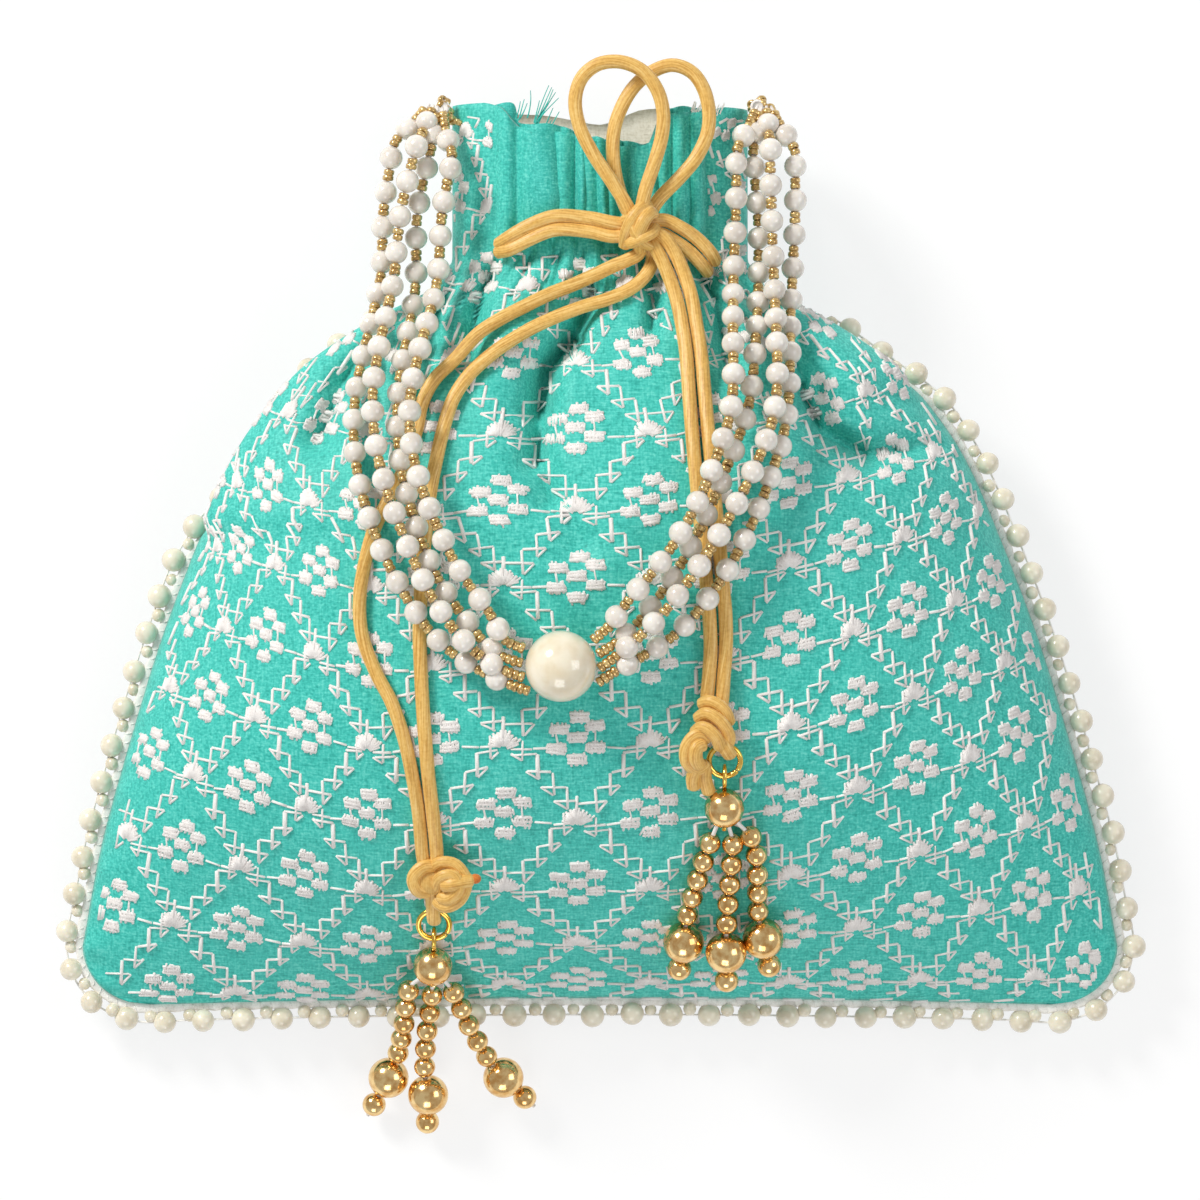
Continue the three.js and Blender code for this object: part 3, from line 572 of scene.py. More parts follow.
@dataclass(frozen=True)
class Floss:
    """Matt stitching thread, with fine fibres along it."""

    name: str
    base: Point
    shade: Point

    def build(self) -> bpy.types.Material:
        """Makes the material.

        Returns:
            The material.
        """
        tree = ShaderTree(self.name)
        fibre = tree.noise(tree.stretched((1.0, 1.0, 1.0)), 4200.0, 3.0)
        tuft = tree.noise(tree.stretched((1.0, 1.0, 1.0)), 900.0, 2.0)
        mixed = tree.math("ADD", tree.math("MULTIPLY", fibre, 0.6), tree.math("MULTIPLY", tuft, 0.4))
        tree.color(tree.ramp(mixed, [(0.3, self.shade), (0.55, self.base)]))
        tree.roughness(fibre, 0.55, 0.8)
        tree.bump(mixed, 0.12 * MM, 0.8)
        tree.set(Sheen_Weight=0.3, Sheen_Roughness=0.5, Specular_IOR_Level=0.3)
        return tree.material


@dataclass(frozen=True)
class Satin:
    """Satin cord: fine streaks along it with a slow twist, whose lighter and darker colour is partly fibre
    tone and partly painted sheen.
    """

    name: str
    base: Point
    shade: Point
    light: Point
    twist: float = 0.05
    streaks: float = 4.6
    drawn: float = 0.16

    def build(self) -> bpy.types.Material:
        """Makes the material.

        Returns:
            The material.
        """
        tree = ShaderTree(self.name)
        parts = tree.node("ShaderNodeSeparateXYZ", {"Vector": tree.place.outputs["UV"]})
        turn, along = tree.math("MULTIPLY", parts.outputs[0], 2 * math.pi), parts.outputs[1]
        twisted = tree.math("ADD", turn, tree.math("MULTIPLY", along, self.twist))
        ring = [tree.math("MULTIPLY", tree.math(way, twisted), self.streaks) for way in ("SINE", "COSINE")]
        drawn = tree.math("MULTIPLY", along, self.drawn)
        vector = tree.node("ShaderNodeCombineXYZ", {"X": ring[0], "Y": ring[1], "Z": drawn})
        fibre = tree.noise(vector.outputs[0], 1.0, 3.0)
        braid = tree.noise(tree.stretched((1.0, 1.0, 1.0)), 1500.0, 2.0)
        sheen_and_fibre_streaks = tree.math("ADD", tree.math("MULTIPLY", fibre, 0.75), tree.math("MULTIPLY", braid, 0.25))
        # Lighter and darker streak colour: partly the fibres' own tone, partly painted sheen that stands in
        # for the satin's gloss.
        tree.color(tree.ramp(sheen_and_fibre_streaks, [(0.36, self.shade), (0.5, self.base), (0.66, self.light)]))
        tree.roughness(fibre, 0.3, 0.48)
        tree.bump(sheen_and_fibre_streaks, 0.16 * MM, 0.9)
        tree.set(Sheen_Weight=0.3, Sheen_Roughness=0.35, Specular_IOR_Level=0.5, Anisotropic=0.3)
        return tree.material


@dataclass(frozen=True)
class Nacre:
    """The coated surface of an imitation pearl."""

    name: str
    base: Point
    shade: Point
    roughness: tuple[float, float] = (0.16, 0.3)
    coat: float = 0.6

    def build(self) -> bpy.types.Material:
        """Makes the material.

        Returns:
            The material.
        """
        tree = ShaderTree(self.name)
        cloud = tree.noise(tree.stretched((1.0, 1.0, 1.0)), 260.0, 3.0)
        tree.color(tree.ramp(cloud, [(0.35, self.shade), (0.6, self.base)]))
        tree.roughness(cloud, *self.roughness)
        pits = tree.noise(tree.stretched((1.0, 1.0, 1.0)), 1500.0, 2.0)
        tree.bump(pits, 0.015 * MM, 0.5)
        tree.set(Coat_Weight=self.coat, Coat_Roughness=0.08, Specular_IOR_Level=0.6, Sheen_Weight=0.15)
        tree.set(Subsurface_Weight=0.12, Subsurface_Radius=(0.002, 0.0016, 0.001), Subsurface_Scale=1.0)
        return tree.material


@dataclass(frozen=True)
class Plating:
    """Polished gold plating, mottled at random with darker patches of painted reflection that stand in for
    dark surroundings mirrored in the gold.
    """

    name: str
    base: Point
    shade: Point
    roughness: tuple[float, float] = (0.12, 0.3)

    def build(self) -> bpy.types.Material:
        """Makes the material.

        Returns:
            The material.
        """
        tree = ShaderTree(self.name)
        cloud = tree.noise(tree.stretched((1.0, 1.0, 1.0)), 520.0, 3.0)
        # Darker patches at random: painted reflection that stands in for dark surroundings in the gold; the
        # roughness follows the same patches.
        tree.color(tree.ramp(cloud, [(0.35, self.shade), (0.62, self.base)]))
        tree.roughness(cloud, *self.roughness)
        scratches = tree.noise(tree.stretched((1.0, 0.2, 1.0)), 3000.0, 2.0)
        tree.bump(scratches, 0.01 * MM, 0.5)
        tree.set(Metallic=1.0)
        return tree.material


@dataclass(frozen=True)
class SeedGlass:
    """Clear seed beads lined with gold."""

    name: str
    base: Point
    shade: Point

    def build(self) -> bpy.types.Material:
        """Makes the material.

        Returns:
            The material.
        """
        tree = ShaderTree(self.name)
        cloud = tree.noise(tree.stretched((1.0, 1.0, 1.0)), 900.0, 2.0)
        tree.color(tree.ramp(cloud, [(0.38, self.shade), (0.62, self.base)]))
        tree.roughness(cloud, 0.14, 0.34)
        tree.set(Metallic=0.55, Coat_Weight=0.8, Coat_Roughness=0.06, Specular_IOR_Level=0.6)
        return tree.material


class Finishes:
    """Every material of the bag, made once."""

    def __init__(self) -> None:
        """Builds the materials."""
        silk = {"shade": srgb(30, 158, 146), "light": srgb(116, 226, 212)}
        self.silk = SlubCloth("turquoise_silk", srgb(66, 200, 186), **silk).build()
        self.plain = SlubCloth("plain_turquoise", srgb(60, 192, 180), thread_pitch=0.36, **silk).build()
        cream = {"shade": srgb(214, 208, 190), "light": srgb(252, 250, 240)}
        self.lining = SlubCloth("cream_lining", srgb(240, 236, 222), sheen=0.1, **cream).build()
        self.floss = Floss("white_floss", srgb(253, 249, 246), srgb(236, 229, 224)).build()
        self.lace = Floss("white_lace", srgb(253, 251, 246), srgb(230, 227, 219)).build()
        self.frayed = Floss("frayed_threads", srgb(70, 205, 190), srgb(40, 160, 150)).build()
        # The satin's shade and light streak colours are partly painted sheen.
        satin = srgb(234, 186, 98), srgb(206, 152, 70), srgb(249, 211, 134)
        self.satin = Satin("mustard_satin", *satin).build()
        self.pearl = Nacre("white_pearl", srgb(245, 239, 230), srgb(224, 215, 204)).build()
        edging = srgb(243, 235, 214), srgb(222, 211, 186)
        self.edge_pearl = Nacre("cream_edge_pearl", *edging, (0.22, 0.36), 0.4).build()
        cream = srgb(248, 238, 215), srgb(238, 224, 194)
        self.center_pearl = Nacre("cream_pearl", *cream, (0.12, 0.2), 0.8).build()
        # The gold's and the wire's shade colours are painted reflection.
        self.gold = Plating("gold_plating", srgb(248, 216, 156), srgb(214, 164, 98), (0.1, 0.24)).build()
        self.wire = Plating("gold_wire", srgb(247, 208, 108), srgb(224, 172, 70), (0.1, 0.22)).build()
        self.melted = Floss("melted_cord_tip", srgb(222, 128, 52), srgb(180, 84, 28)).build()
        self.seed = SeedGlass("gold_seed_beads", srgb(226, 194, 126), srgb(178, 138, 72)).build()


@dataclass(frozen=True)
class Crease:
    """A fold pressed into the front between two plan points, its right side crisp times as wide."""

    start: tuple[float, float]
    end: tuple[float, float]
    depth: float
    width: float
    crisp: float = 1.0


@dataclass(frozen=True)
class BagShape:
    """The cloth's form in millimetres: x to the right, y towards the mouth, z up."""

    mouth_y: float = 98.0
    shoulder_y: float = 64.0
    fullest_y: float = 0.0
    widest_y: float = -80.0
    bottom_y: float = -92.8
    neck_half_width: float = 31.0
    widest_half_width: float = 109.2
    corner_width: float = 14.2
    bottom_bow: float = 1.8
    bottom_bow_length: float = 20.0
    neck_depth: float = 12.0
    body_depth: float = 33.0
    seam_top: float = 16.0
    seam_drop: float = 7.0
    seam_drop_length: float = 60.0
    mouth_lift: float = 3.0
    mouth_lift_length: float = 53.0
    mouth_dip_length: float = 18.0
    wall: float = 1.4
    clearance: float = 0.3
    casing_length: float = 31.0
    pleat_height: float = 1.8
    pleat_length: float = 54.0
    flare: tuple = (
        (0, 0), (0.045, 0.07), (0.087, 0.217), (0.149, 0.384), (0.212, 0.492), (0.285, 0.582),
        (0.389, 0.668), (0.549, 0.78), (0.708, 0.87), (0.854, 0.946), (1, 1),
    )
    pleats: tuple = (-0.7, -0.56, -0.32, -0.17, 0.02, 0.13, 0.37, 0.48, 0.6, 0.71)
    dips: tuple = (
        (-24, 1.4), (-21, 2.6), (-17, 6.6), (-5, 8.2), (-3, 9.4), (10, 10.4), (12.5, 5.4), (16, 3.8),
        (22, 3.6), (26, 2.2),
    )
    creases: tuple = (
        Crease((-1.2, 57), (-5.1, 47), 10, 9, 0.5),
        Crease((-5.1, 47), (-10.1, 41), 13.5, 12, 0.5),
        Crease((-10.1, 41), (-11.6, 32), 13.5, 12, 0.5),
        Crease((-11.6, 32), (-12, 22), 9, 11, 0.6),
        Crease((-12, 22), (-9, 14), 5.5, 11, 0.9),
        Crease((-9, 14), (-4, 5), 2.6, 12),
        Crease((31, 55), (41, 38), 8, 9),
        Crease((41, 38), (46, 28), 10, 10),
        Crease((46, 28), (55, 23.5), 9.5, 9),
        Crease((55, 23.5), (72, 26), 7, 8),
        Crease((-46, 47), (-51, 38), 7.5, 11),
        Crease((-51, 38), (-55, 27), 7, 11),
        Crease((-31, 57), (-36, 42), 7, 9),
        Crease((-23, 60), (-26, 44), 6.5, 7),
        Crease((22, 60), (25, 42), 6.5, 8),
        Crease((11, 60), (10, 49), 4.5, 5),
    )

    def half_width(self, y: np.ndarray) -> np.ndarray:
        """Half the cloth's width at a height on the bag.

        Args:
            y: Height on the bag.

        Returns:
            Half the width.
        """
        down = (self.shoulder_y - y) / (self.shoulder_y - self.widest_y)
        flank = mix(self.neck_half_width, self.widest_half_width, through(self.flare, clamp01(down)))
        turn = clamp01((self.widest_y - y) / (self.widest_y - self.bottom_y))
        return flank - self.corner_width * (1 - np.sqrt(1 - turn**2))

    def front_depth(self, y: np.ndarray) -> np.ndarray:
        """How far the front stands above the side seams in the middle.

        Args:
            y: Height on the bag.

        Returns:
            The depth.
        """
        swell = clamp01((self.shoulder_y - y) / (self.shoulder_y - self.fullest_y))
        upper = mix(self.neck_depth, self.body_depth, np.sin(swell * math.pi / 2))
        down = clamp01((self.fullest_y - y) / (self.fullest_y - self.bottom_y))
        return np.where(y >= self.fullest_y, upper, self.body_depth * (1 - down**2.4) ** 0.85)

    def crown(self, u: np.ndarray, y: np.ndarray) -> np.ndarray:
        """Share of the depth left at a share of the half width."""
        squareness = mix(4.0, 2.4, ease((self.shoulder_y - y) / 40))
        return np.maximum(0.0, 1 - np.abs(u) ** squareness) ** 0.58

    def seam_height(self, y: np.ndarray) -> np.ndarray:
        """Height of the side seams."""
        return self.seam_top - self.seam_drop * ease(1 - (y - self.bottom_y) / self.seam_drop_length)

    def back_height(self, y: np.ndarray) -> np.ndarray:
        """Height of the back's lowest line, which lifts towards the mouth."""
        return self.mouth_lift * ease(1 - (self.mouth_y - y) / self.mouth_lift_length)

    def pleat(self, u: np.ndarray, y: np.ndarray) -> np.ndarray:
        """Rise of the neck's pleats.

        Args:
            u: Share of the half width, from minus one to one.
            y: Height on the bag.

        Returns:
            The rise.
        """
        marks = np.array(self.pleats)
        index = np.clip(np.searchsorted(marks, u, side="right"), 1, len(marks) - 1)
        share = clamp01((u - marks[index - 1]) / (marks[index] - marks[index - 1]))
        fade = ease((self.pleat_length - (self.mouth_y - y)) / (self.pleat_length - self.casing_length))
        inside = (u > marks[0]) & (u < marks[-1])
        return np.where(inside, self.pleat_height * fade * np.sin(math.pi * share) ** 0.8, 0.0)

    def crease_depth(self, x: np.ndarray, y: np.ndarray) -> np.ndarray:
        """Depth of the folds pressed into the front, each a hollow with a narrow crack in its middle.

        Args:
            x: Place across the bag.
            y: Height on the bag.

        Returns:
            The depth.
        """
        deepest = np.zeros(np.broadcast(x, y).shape)
        for fold in self.creases:
            along = np.subtract(fold.end, fold.start)
            reach_x, reach_y = x - fold.start[0], y - fold.start[1]
            share = clamp01((along[0] * reach_x + along[1] * reach_y) / float(along @ along))
            off_x, off_y = reach_x - share * along[0], reach_y - share * along[1]
            side = np.where(off_x > 0, fold.width * fold.crisp, fold.width)
            away = np.hypot(off_x, off_y) / side
            hollow, crack = clamp01(1 - away) ** 2, clamp01(1 - away / 0.42) ** 1.1
            deepest = np.maximum(deepest, fold.depth * (0.62 * hollow + 0.38 * crack))
        return deepest

    def rise(self, u: np.ndarray, y: np.ndarray) -> np.ndarray:
        """Rise of the plump front over the side seams."""
        return self.front_depth(y) * self.crown(u, y)

    def rest_height(self, x: np.ndarray, y: np.ndarray, widest: float = 1.0) -> np.ndarray:
        """Height on which beads and cords lie, over the folds."""
        u = np.minimum(widest, np.abs(x) / self.half_width(y))
        return self.seam_height(y) + self.clearance / 2 + self.wall + self.rise(u, y)

    def mouth_dip(self, x: np.ndarray) -> np.ndarray:
        """How far the front edge of the mouth falls back."""
        return through(self.dips, x)

    def tuck(self, sign: np.ndarray, y: np.ndarray) -> np.ndarray:
        """How far the seam turns in under the puffed shoulders, more on the left.

        Args:
            sign: Minus one on the left and one on the right.
            y: Height on the bag.

        Returns:
            The distance.
        """
        left = 6.6 * ease((y - 4) / 12)
        right = 4.2 * ease((y - 34) / 10)
        return np.where(sign < 0, left, right) * ease((60 - y) / 7)

    def row_y(self, x: np.ndarray, y: np.ndarray, dip: np.ndarray | float = 0.0) -> np.ndarray:
        """Place of a row, which follows the dipped mouth and the bowed bottom seam.

        Args:
            x: Place across the bag.
            y: Height of the row before it is bent.
            dip: How far the mouth falls back.

        Returns:
            Its height on the bag.
        """
        bow = self.bottom_bow * (1 - (x / self.widest_half_width) ** 2)
        dipped = dip * ease(1 - (self.mouth_y - y) / self.mouth_dip_length)
        return y - dipped + bow * ease(1 - (y - self.bottom_y) / self.bottom_bow_length)


class Waves:
    """Seeded smooth waves that give cloth its small unevenness."""

    def __init__(self, seed: int, longest: float, shortest: float, count: int = 18) -> None:
        """Draws the waves.

        Args:
            seed: Number that fixes the draw.
            longest: Longest wave, in millimetres.
            shortest: Shortest wave.
            count: How many waves are summed.
        """
        draw = np.random.default_rng(seed)
        self.angle = draw.uniform(0, math.pi, count)
        self.phase = draw.uniform(0, 2 * math.pi, count)
        self.length = np.exp(draw.uniform(math.log(shortest), math.log(longest), count))
        self.share = self.length / self.length.sum()

    def at(self, x: np.ndarray, y: np.ndarray) -> np.ndarray:
        """Height from about minus one to one.

        Args:
            x: Place across the bag.
            y: Height on the bag.

        Returns:
            The height.
        """
        total = np.zeros(np.broadcast(x, y).shape)
        for angle, phase, length, share in zip(self.angle, self.phase, self.length, self.share):
            across = x * math.cos(angle) + y * math.sin(angle)
            total += share * np.sin(2 * math.pi * across / length + phase)
        return total * 2.2


def dress(made: bpy.types.Object, body: Body, slot: str, *nodes: str) -> bpy.types.Object:
    """Parents a finished piece to its body's empty and hides the CAD nodes that it stands for.

    Args:
        made: The piece.
        body: The body that it rides on.
        slot: Not used.
        nodes: The CAD nodes that it stands for.

    Returns:
        The piece.
    """
    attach(made, body.value)
    if nodes:
        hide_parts(*nodes)
    LOG.info("%s: %d points, rides on %s", made.name, len(made.data.vertices), body.value)
    return made


class ClothGrid:
    """A cloth as a grid of points, by row and by share of the half width, that others are laid on."""

    def __init__(
        self, shape: BagShape, rows: np.ndarray, shares: np.ndarray, points: np.ndarray, faces: int
    ) -> None:
        """Keeps the grid and works out its normals.

        Args:
            shape: The bag's shape.
            rows: Height on the bag of each row, falling.
            shares: Share of the half width of each column, rising.
            points: The points, rows by columns by 3.
            faces: One where the cloth faces up and minus one where it faces down.
        """
        self.shape = shape
        self.rows = rows
        self.shares = shares
        self.points = points
        normal = np.cross(np.gradient(points, axis=1), -np.gradient(points, axis=0))
        self.normals = faces * normal / np.maximum(np.linalg.norm(normal, axis=2, keepdims=True), 1e-9)

    def sample(self, x: np.ndarray, y: np.ndarray) -> tuple[np.ndarray, np.ndarray]:
        """Points and normals of the cloth at plan places.

        Args:
            x: Place across the bag.
            y: Height on the bag.

        Returns:
            The points and the normals there.
        """
        row = np.array(y, float)
        for _ in range(4):
            row = y - (self.shape.row_y(x, row) - row)
        share = x / self.shape.half_width(row)
        r = np.interp(-row, -self.rows, np.arange(len(self.rows)))
        c = np.interp(share, self.shares, np.arange(len(self.shares)))
        r0 = np.clip(r.astype(int), 0, len(self.rows) - 2)
        c0 = np.clip(c.astype(int), 0, len(self.shares) - 2)
        fr, fc = (r - r0)[..., None], (c - c0)[..., None]

        def blended(grid: np.ndarray) -> np.ndarray:
            """Value of a grid between its points.

            Args:
                grid: A value or vector for each point of the cloth.

            Returns:
                The value at each place asked for.
            """
            upper = grid[r0, c0] * (1 - fc) + grid[r0, c0 + 1] * fc
            lower = grid[r0 + 1, c0] * (1 - fc) + grid[r0 + 1, c0 + 1] * fc
            return upper * (1 - fr) + lower * fr

        normal = blended(self.normals)
        return blended(self.points), normal / np.maximum(np.linalg.norm(normal, axis=-1, keepdims=True), 1e-9)


@dataclass
class Studio:
    """The camera straight above the bag, soft lamps, and the pale floor it lies on."""

    camera_place: Point = (0.0, -0.0069, 1.117)
    sensor: float = 36.0
    view_width: float = 0.252
    view_height: float = 0.017
    floor_size: float = 6.0
    floor_color: Point = (0.93, 0.93, 0.93)
    floor_glow: float = 0.72
    glow_strength: float = 1.06
    world_strength: float = 0.36
    mirrored_strength: float = 0.52

    def camera(self) -> None:
        """Sets the camera at the photograph's angle."""
        data = bpy.data.cameras.new("camera")
        data.sensor_width = self.sensor
        distance = self.camera_place[2] - self.view_height
        data.lens = self.sensor * distance / self.view_width
        data.clip_end = 50
        made = bpy.data.objects.new("camera", data)
        made.location = self.camera_place
        bpy.context.scene.collection.objects.link(made)
        bpy.context.scene.camera = made

    def lamp(
        self, name: str, place: Point, size: float, power: float, color: Point = (1.0, 1.0, 1.0)
    ) -> None:
        """Adds a soft lamp that points at the bag.

        Args:
            name: The lamp's name.
            place: Where it stands.
            size: Its width and height.
            power: Its power in watts.
            color: Its colour.
        """
        data = bpy.data.lights.new(name, "AREA")
        data.size = size
        data.energy = power
        data.color = color
        made = bpy.data.objects.new(name, data)
        made.location = place
        heading = np.array(place) - np.array([0.0, 0.0, 0.02])
        flat = math.hypot(heading[0], heading[1])
        made.rotation_euler = (math.atan2(flat, heading[2]), 0.0, math.atan2(heading[0], -heading[1]))
        bpy.context.scene.collection.objects.link(made)

    def lights(self) -> None:
        """Sets the lamps: a large key from the upper left, a fill from the right and one from below."""
        self.lamp("key_lamp", (-0.85, 0.95, 0.85), 0.4, 18.0, (1.0, 0.985, 0.96))
        self.lamp("fill_lamp", (1.1, 0.1, 1.0), 0.7, 4.2, (0.97, 0.985, 1.0))
        self.lamp("front_lamp", (-0.1, -1.2, 0.8), 0.7, 4.6)

    def world(self) -> None:
        """Sets an even white sky."""
        world = bpy.data.worlds.new("white_sky")
        bpy.context.scene.world = world
        world.use_nodes = True
        nodes, links = world.node_tree.nodes, world.node_tree.links
        rays = nodes.new("ShaderNodeLightPath")
        background = nodes["Background"]
        background.inputs["Color"].default_value = (1.0, 1.0, 1.0, 1.0)
        level = self.world_strength
        for output, strength in (("Is Glossy Ray", self.mirrored_strength), ("Is Camera Ray", 1.0)):
            chosen = nodes.new("ShaderNodeMix")
            links.new(rays.outputs[output], chosen.inputs[0])
            if isinstance(level, float):
                chosen.inputs[2].default_value = level
            else:
                links.new(level, chosen.inputs[2])
            chosen.inputs[3].default_value = strength
            level = chosen.outputs[0]
        links.new(level, background.inputs["Strength"])

    def floor(self) -> None:
        """Lays a white floor that still shows the object's shadow."""
        half = self.floor_size / 2
        mesh = bpy.data.meshes.new("studio_floor")
        corners = [(-half, -half, 0), (half, -half, 0), (half, half, 0), (-half, half, 0)]
        mesh.from_pydata(corners, [], [(0, 1, 2, 3)])
        material = bpy.data.materials.new("floor_paint")
        material.use_nodes = True
        nodes, links = material.node_tree.nodes, material.node_tree.links
        nodes.remove(nodes["Principled BSDF"])
        paint = nodes.new("ShaderNodeBsdfDiffuse")
        paint.inputs["Color"].default_value = (*self.floor_color, 1.0)
        glow = nodes.new("ShaderNodeEmission")
        glow.inputs["Strength"].default_value = self.glow_strength
        rays = nodes.new("ShaderNodeLightPath")
        seen = nodes.new("ShaderNodeMath")
        seen.operation = "MAXIMUM"
        links.new(rays.outputs["Is Camera Ray"], seen.inputs[0])
        links.new(rays.outputs["Is Glossy Ray"], seen.inputs[1])
        share = nodes.new("ShaderNodeMath")
        share.operation = "MULTIPLY"
        share.inputs[1].default_value = self.floor_glow
        links.new(seen.outputs[0], share.inputs[0])
        mixed = nodes.new("ShaderNodeMixShader")
        links.new(share.outputs[0], mixed.inputs[0])
        links.new(paint.outputs[0], mixed.inputs[1])
        links.new(glow.outputs[0], mixed.inputs[2])
        links.new(mixed.outputs[0], nodes["Material Output"].inputs["Surface"])
        mesh.materials.append(material)
        made = bpy.data.objects.new("studio_floor", mesh)
        bpy.context.scene.collection.objects.link(made)

    def build(self) -> None:
        """Builds the whole studio."""
        bpy.context.scene.view_settings.view_transform = "Standard"
        self.camera()
        self.lights()
        self.world()
        self.floor()


@dataclass
class Drawstrings:
    """Two satin cords tied in a bow, with a knot above each tassel."""

    finishes: Finishes
    diameter: float = 2.4
    sides: int = 18
    flatness: float = 0.72
    spread: float = 1.2
    step: float = 0.7
    routes: dict[str, Route] = field(default_factory=lambda: {
        "lead_left_upper": [
            (-18.4, 68.4, 33.6), (-14.5, 70.6, 34.2), (-9.3, 72.4, 34.6), (-2.1, 72, 35), (2.6, 71, 35.6),
        ],
        "lead_left_lower": [
            (-18.8, 65.6, 33.2), (-14.5, 67.7, 34), (-9.3, 69.6, 34.5), (-2.1, 69.2, 34.9), (2.6, 68.2, 35.4),
        ],
        "lead_right_upper": [(13.4, 71.6, 34.2), (16.6, 70.2, 33.8), (20, 68, 32.8), (22.8, 65.2, 32)],
        "lead_right_lower": [(12.9, 68.7, 34), (15.4, 67.3, 33.6), (18.5, 65.2, 32.7), (20.9, 62.8, 32)],
        "bow_loop_left": [
            (5.5, 74.4, 37.4), (2.5, 79.2, 37.6), (-1.4, 85, 37.8), (-4.3, 90.9, 38), (-5.1, 96.4, 38.2),
            (-3.7, 100.7, 38.4), (-0.4, 103.4, 38.5), (4.3, 103.9, 38.5), (8.8, 102, 38.4),
            (11.8, 98.1, 38.2), (13, 93.7, 38), (12.8, 89.1, 37.8), (11.3, 83.4, 37.6), (9.5, 78, 37.5),
            (8.7, 74.4, 37.4),
        ],
        "bow_loop_right": [
            (5.2, 74.6, 34.4), (3.6, 79.1, 34.4), (2.7, 84.7, 34.5), (2.9, 90.1, 34.6), (4.3, 94.6, 34.7),
            (7, 99.1, 34.9), (10.7, 102.2, 35), (15, 103.6, 35), (18.9, 102.2, 34.9), (21.4, 98.7, 34.8),
            (22.5, 94.2, 34.7), (22.2, 89.6, 34.6), (19.8, 84.4, 34.6), (15.9, 79.8, 34.5),
            (12.4, 76.2, 34.4),
        ],
        "tail_left_outer": [
            (8, 64.7, 34.8), (5.8, 63.4, 34.8), (2.5, 62, 34.9), (-1.2, 60.2, 35), (-5.8, 58.1, 35.4),
            (-10.3, 56.3, 36), (-15.5, 53.7, 36.8), (-20.6, 51, 37.6), (-25.1, 47.9, 38.6),
            (-29.8, 42.6, 40.4), (-33.9, 38.5, 41.4), (-36.4, 33.7, 42.5), (-37.6, 27.9, 43.9),
            (-40, 20.1, 45.6), (-43.3, 13.5, 46.5), (-46.2, 7.4, 46.9), (-47.9, 1.3, 47.1),
            (-49, -5.3, 47.2), (-49, -11.4, 47.3), (-48, -16.1, 47.5), (-45.5, -22.2, 47.8),
            (-42.6, -27.7, 47.8), (-40, -35.3, 47.2), (-38.4, -42.9, 45.4), (-37.2, -50.6, 42.9),
            (-36.4, -60, 39.2),
        ],
        "tail_left_inner": [
            (10.9, 64.1, 33.2), (9.9, 60.9, 34.3), (6.9, 57.8, 35.2), (2.1, 55.4, 36.1), (-3.5, 53.6, 36.9),
            (-8.7, 51.6, 37.7), (-13.8, 49.2, 38.7), (-18.6, 46.3, 40), (-23, 43, 41.1), (-27.1, 39, 42.2),
            (-30, 34.5, 43.4), (-31.8, 29.1, 44.9), (-33.3, 22.5, 46.6), (-34.6, 15.5, 48),
            (-35.5, 7.4, 49.1), (-36.3, -0.8, 49.6), (-36.6, -7.5, 49.7), (-36.8, -13.2, 49.6),
            (-36.6, -19.3, 49.4), (-36.2, -27.7, 48.7), (-35.7, -35.3, 47.7), (-35.1, -42.9, 45.7),
            (-34.3, -50.6, 43.1), (-33.6, -60, 39.3),
        ],
        "tail_right_inner": [
            (11.8, 65, 36.6), (13.2, 62.2, 36.7), (14.5, 59, 36.9), (15.8, 54.9, 37.8), (16.9, 49.5, 39.3),
            (17.7, 43.4, 41.4), (18.2, 36.1, 44.1), (18.7, 28.9, 46.5), (19.3, 21.2, 48.6), (20, 13.5, 50.1),
            (20.9, 4.3, 51.1), (21.8, -4.9, 51.3), (22.3, -11, 51.3), (22.5, -17.1, 51), (22.2, -22.2, 50.9),
            (21.8, -28.3, 50.9),
        ],
        "tail_right_outer": [
            (13.6, 67.4, 36.4), (15.5, 64.6, 36.2), (17.3, 60.6, 36.3), (18.8, 55.8, 37.2),
            (19.9, 49.5, 38.9), (20.8, 43.4, 41.1), (21.4, 36.1, 43.7), (22, 28.9, 46.1), (22.7, 21.3, 48.2),
            (23.4, 13.5, 49.8), (24.3, 4.3, 50.9), (25.1, -4.9, 51.1), (25.6, -11, 51), (25.6, -17.1, 50.7),
            (25.2, -22.2, 50.7), (24.7, -28.3, 50.9),
        ],
    })
    starts: dict[str, Route] = field(default_factory=lambda: {
        "bow_loop_left": [(6.8, 71.6, 37.0)],
        "bow_loop_right": [(7.0, 71.4, 35.2)],
        "lead_left_upper": [(-21.6, 66.4, 31.2)],
        "lead_left_lower": [(-21.8, 65.2, 30.9)],
        "lead_right_upper": [(10.2, 71.2, 35.4)],
        "lead_right_lower": [(10.0, 68.8, 35.2)],
        "tail_left_outer": [(8.6, 67.0, 35.8)],
        "tail_left_inner": [(10.0, 66.8, 34.4)],
        "tail_right_inner": [(10.2, 67.4, 36.0)],
        "tail_right_outer": [(11.4, 69.0, 36.2)],
    })
    ends: dict[str, Route] = field(default_factory=lambda: {
        "bow_loop_left": [(8.4, 71.4, 37.0)],
        "bow_loop_right": [(9.4, 71.6, 35.0)],
        "lead_left_upper": [(5.6, 70.6, 35.8)],
        "lead_left_lower": [(5.6, 68.6, 35.6)],
        "lead_right_upper": [(24.4, 62.8, 29.8)],
        "lead_right_lower": [(22.9, 60.6, 29.8)],
        "tail_left_outer": [(-35.6, -63.0, 38.0)],
        "tail_left_inner": [(-34.0, -63.0, 38.2)],
        "tail_right_inner": [(22.2, -31.0, 51.2)],
        "tail_right_outer": [(23.8, -31.0, 51.2)],
    })
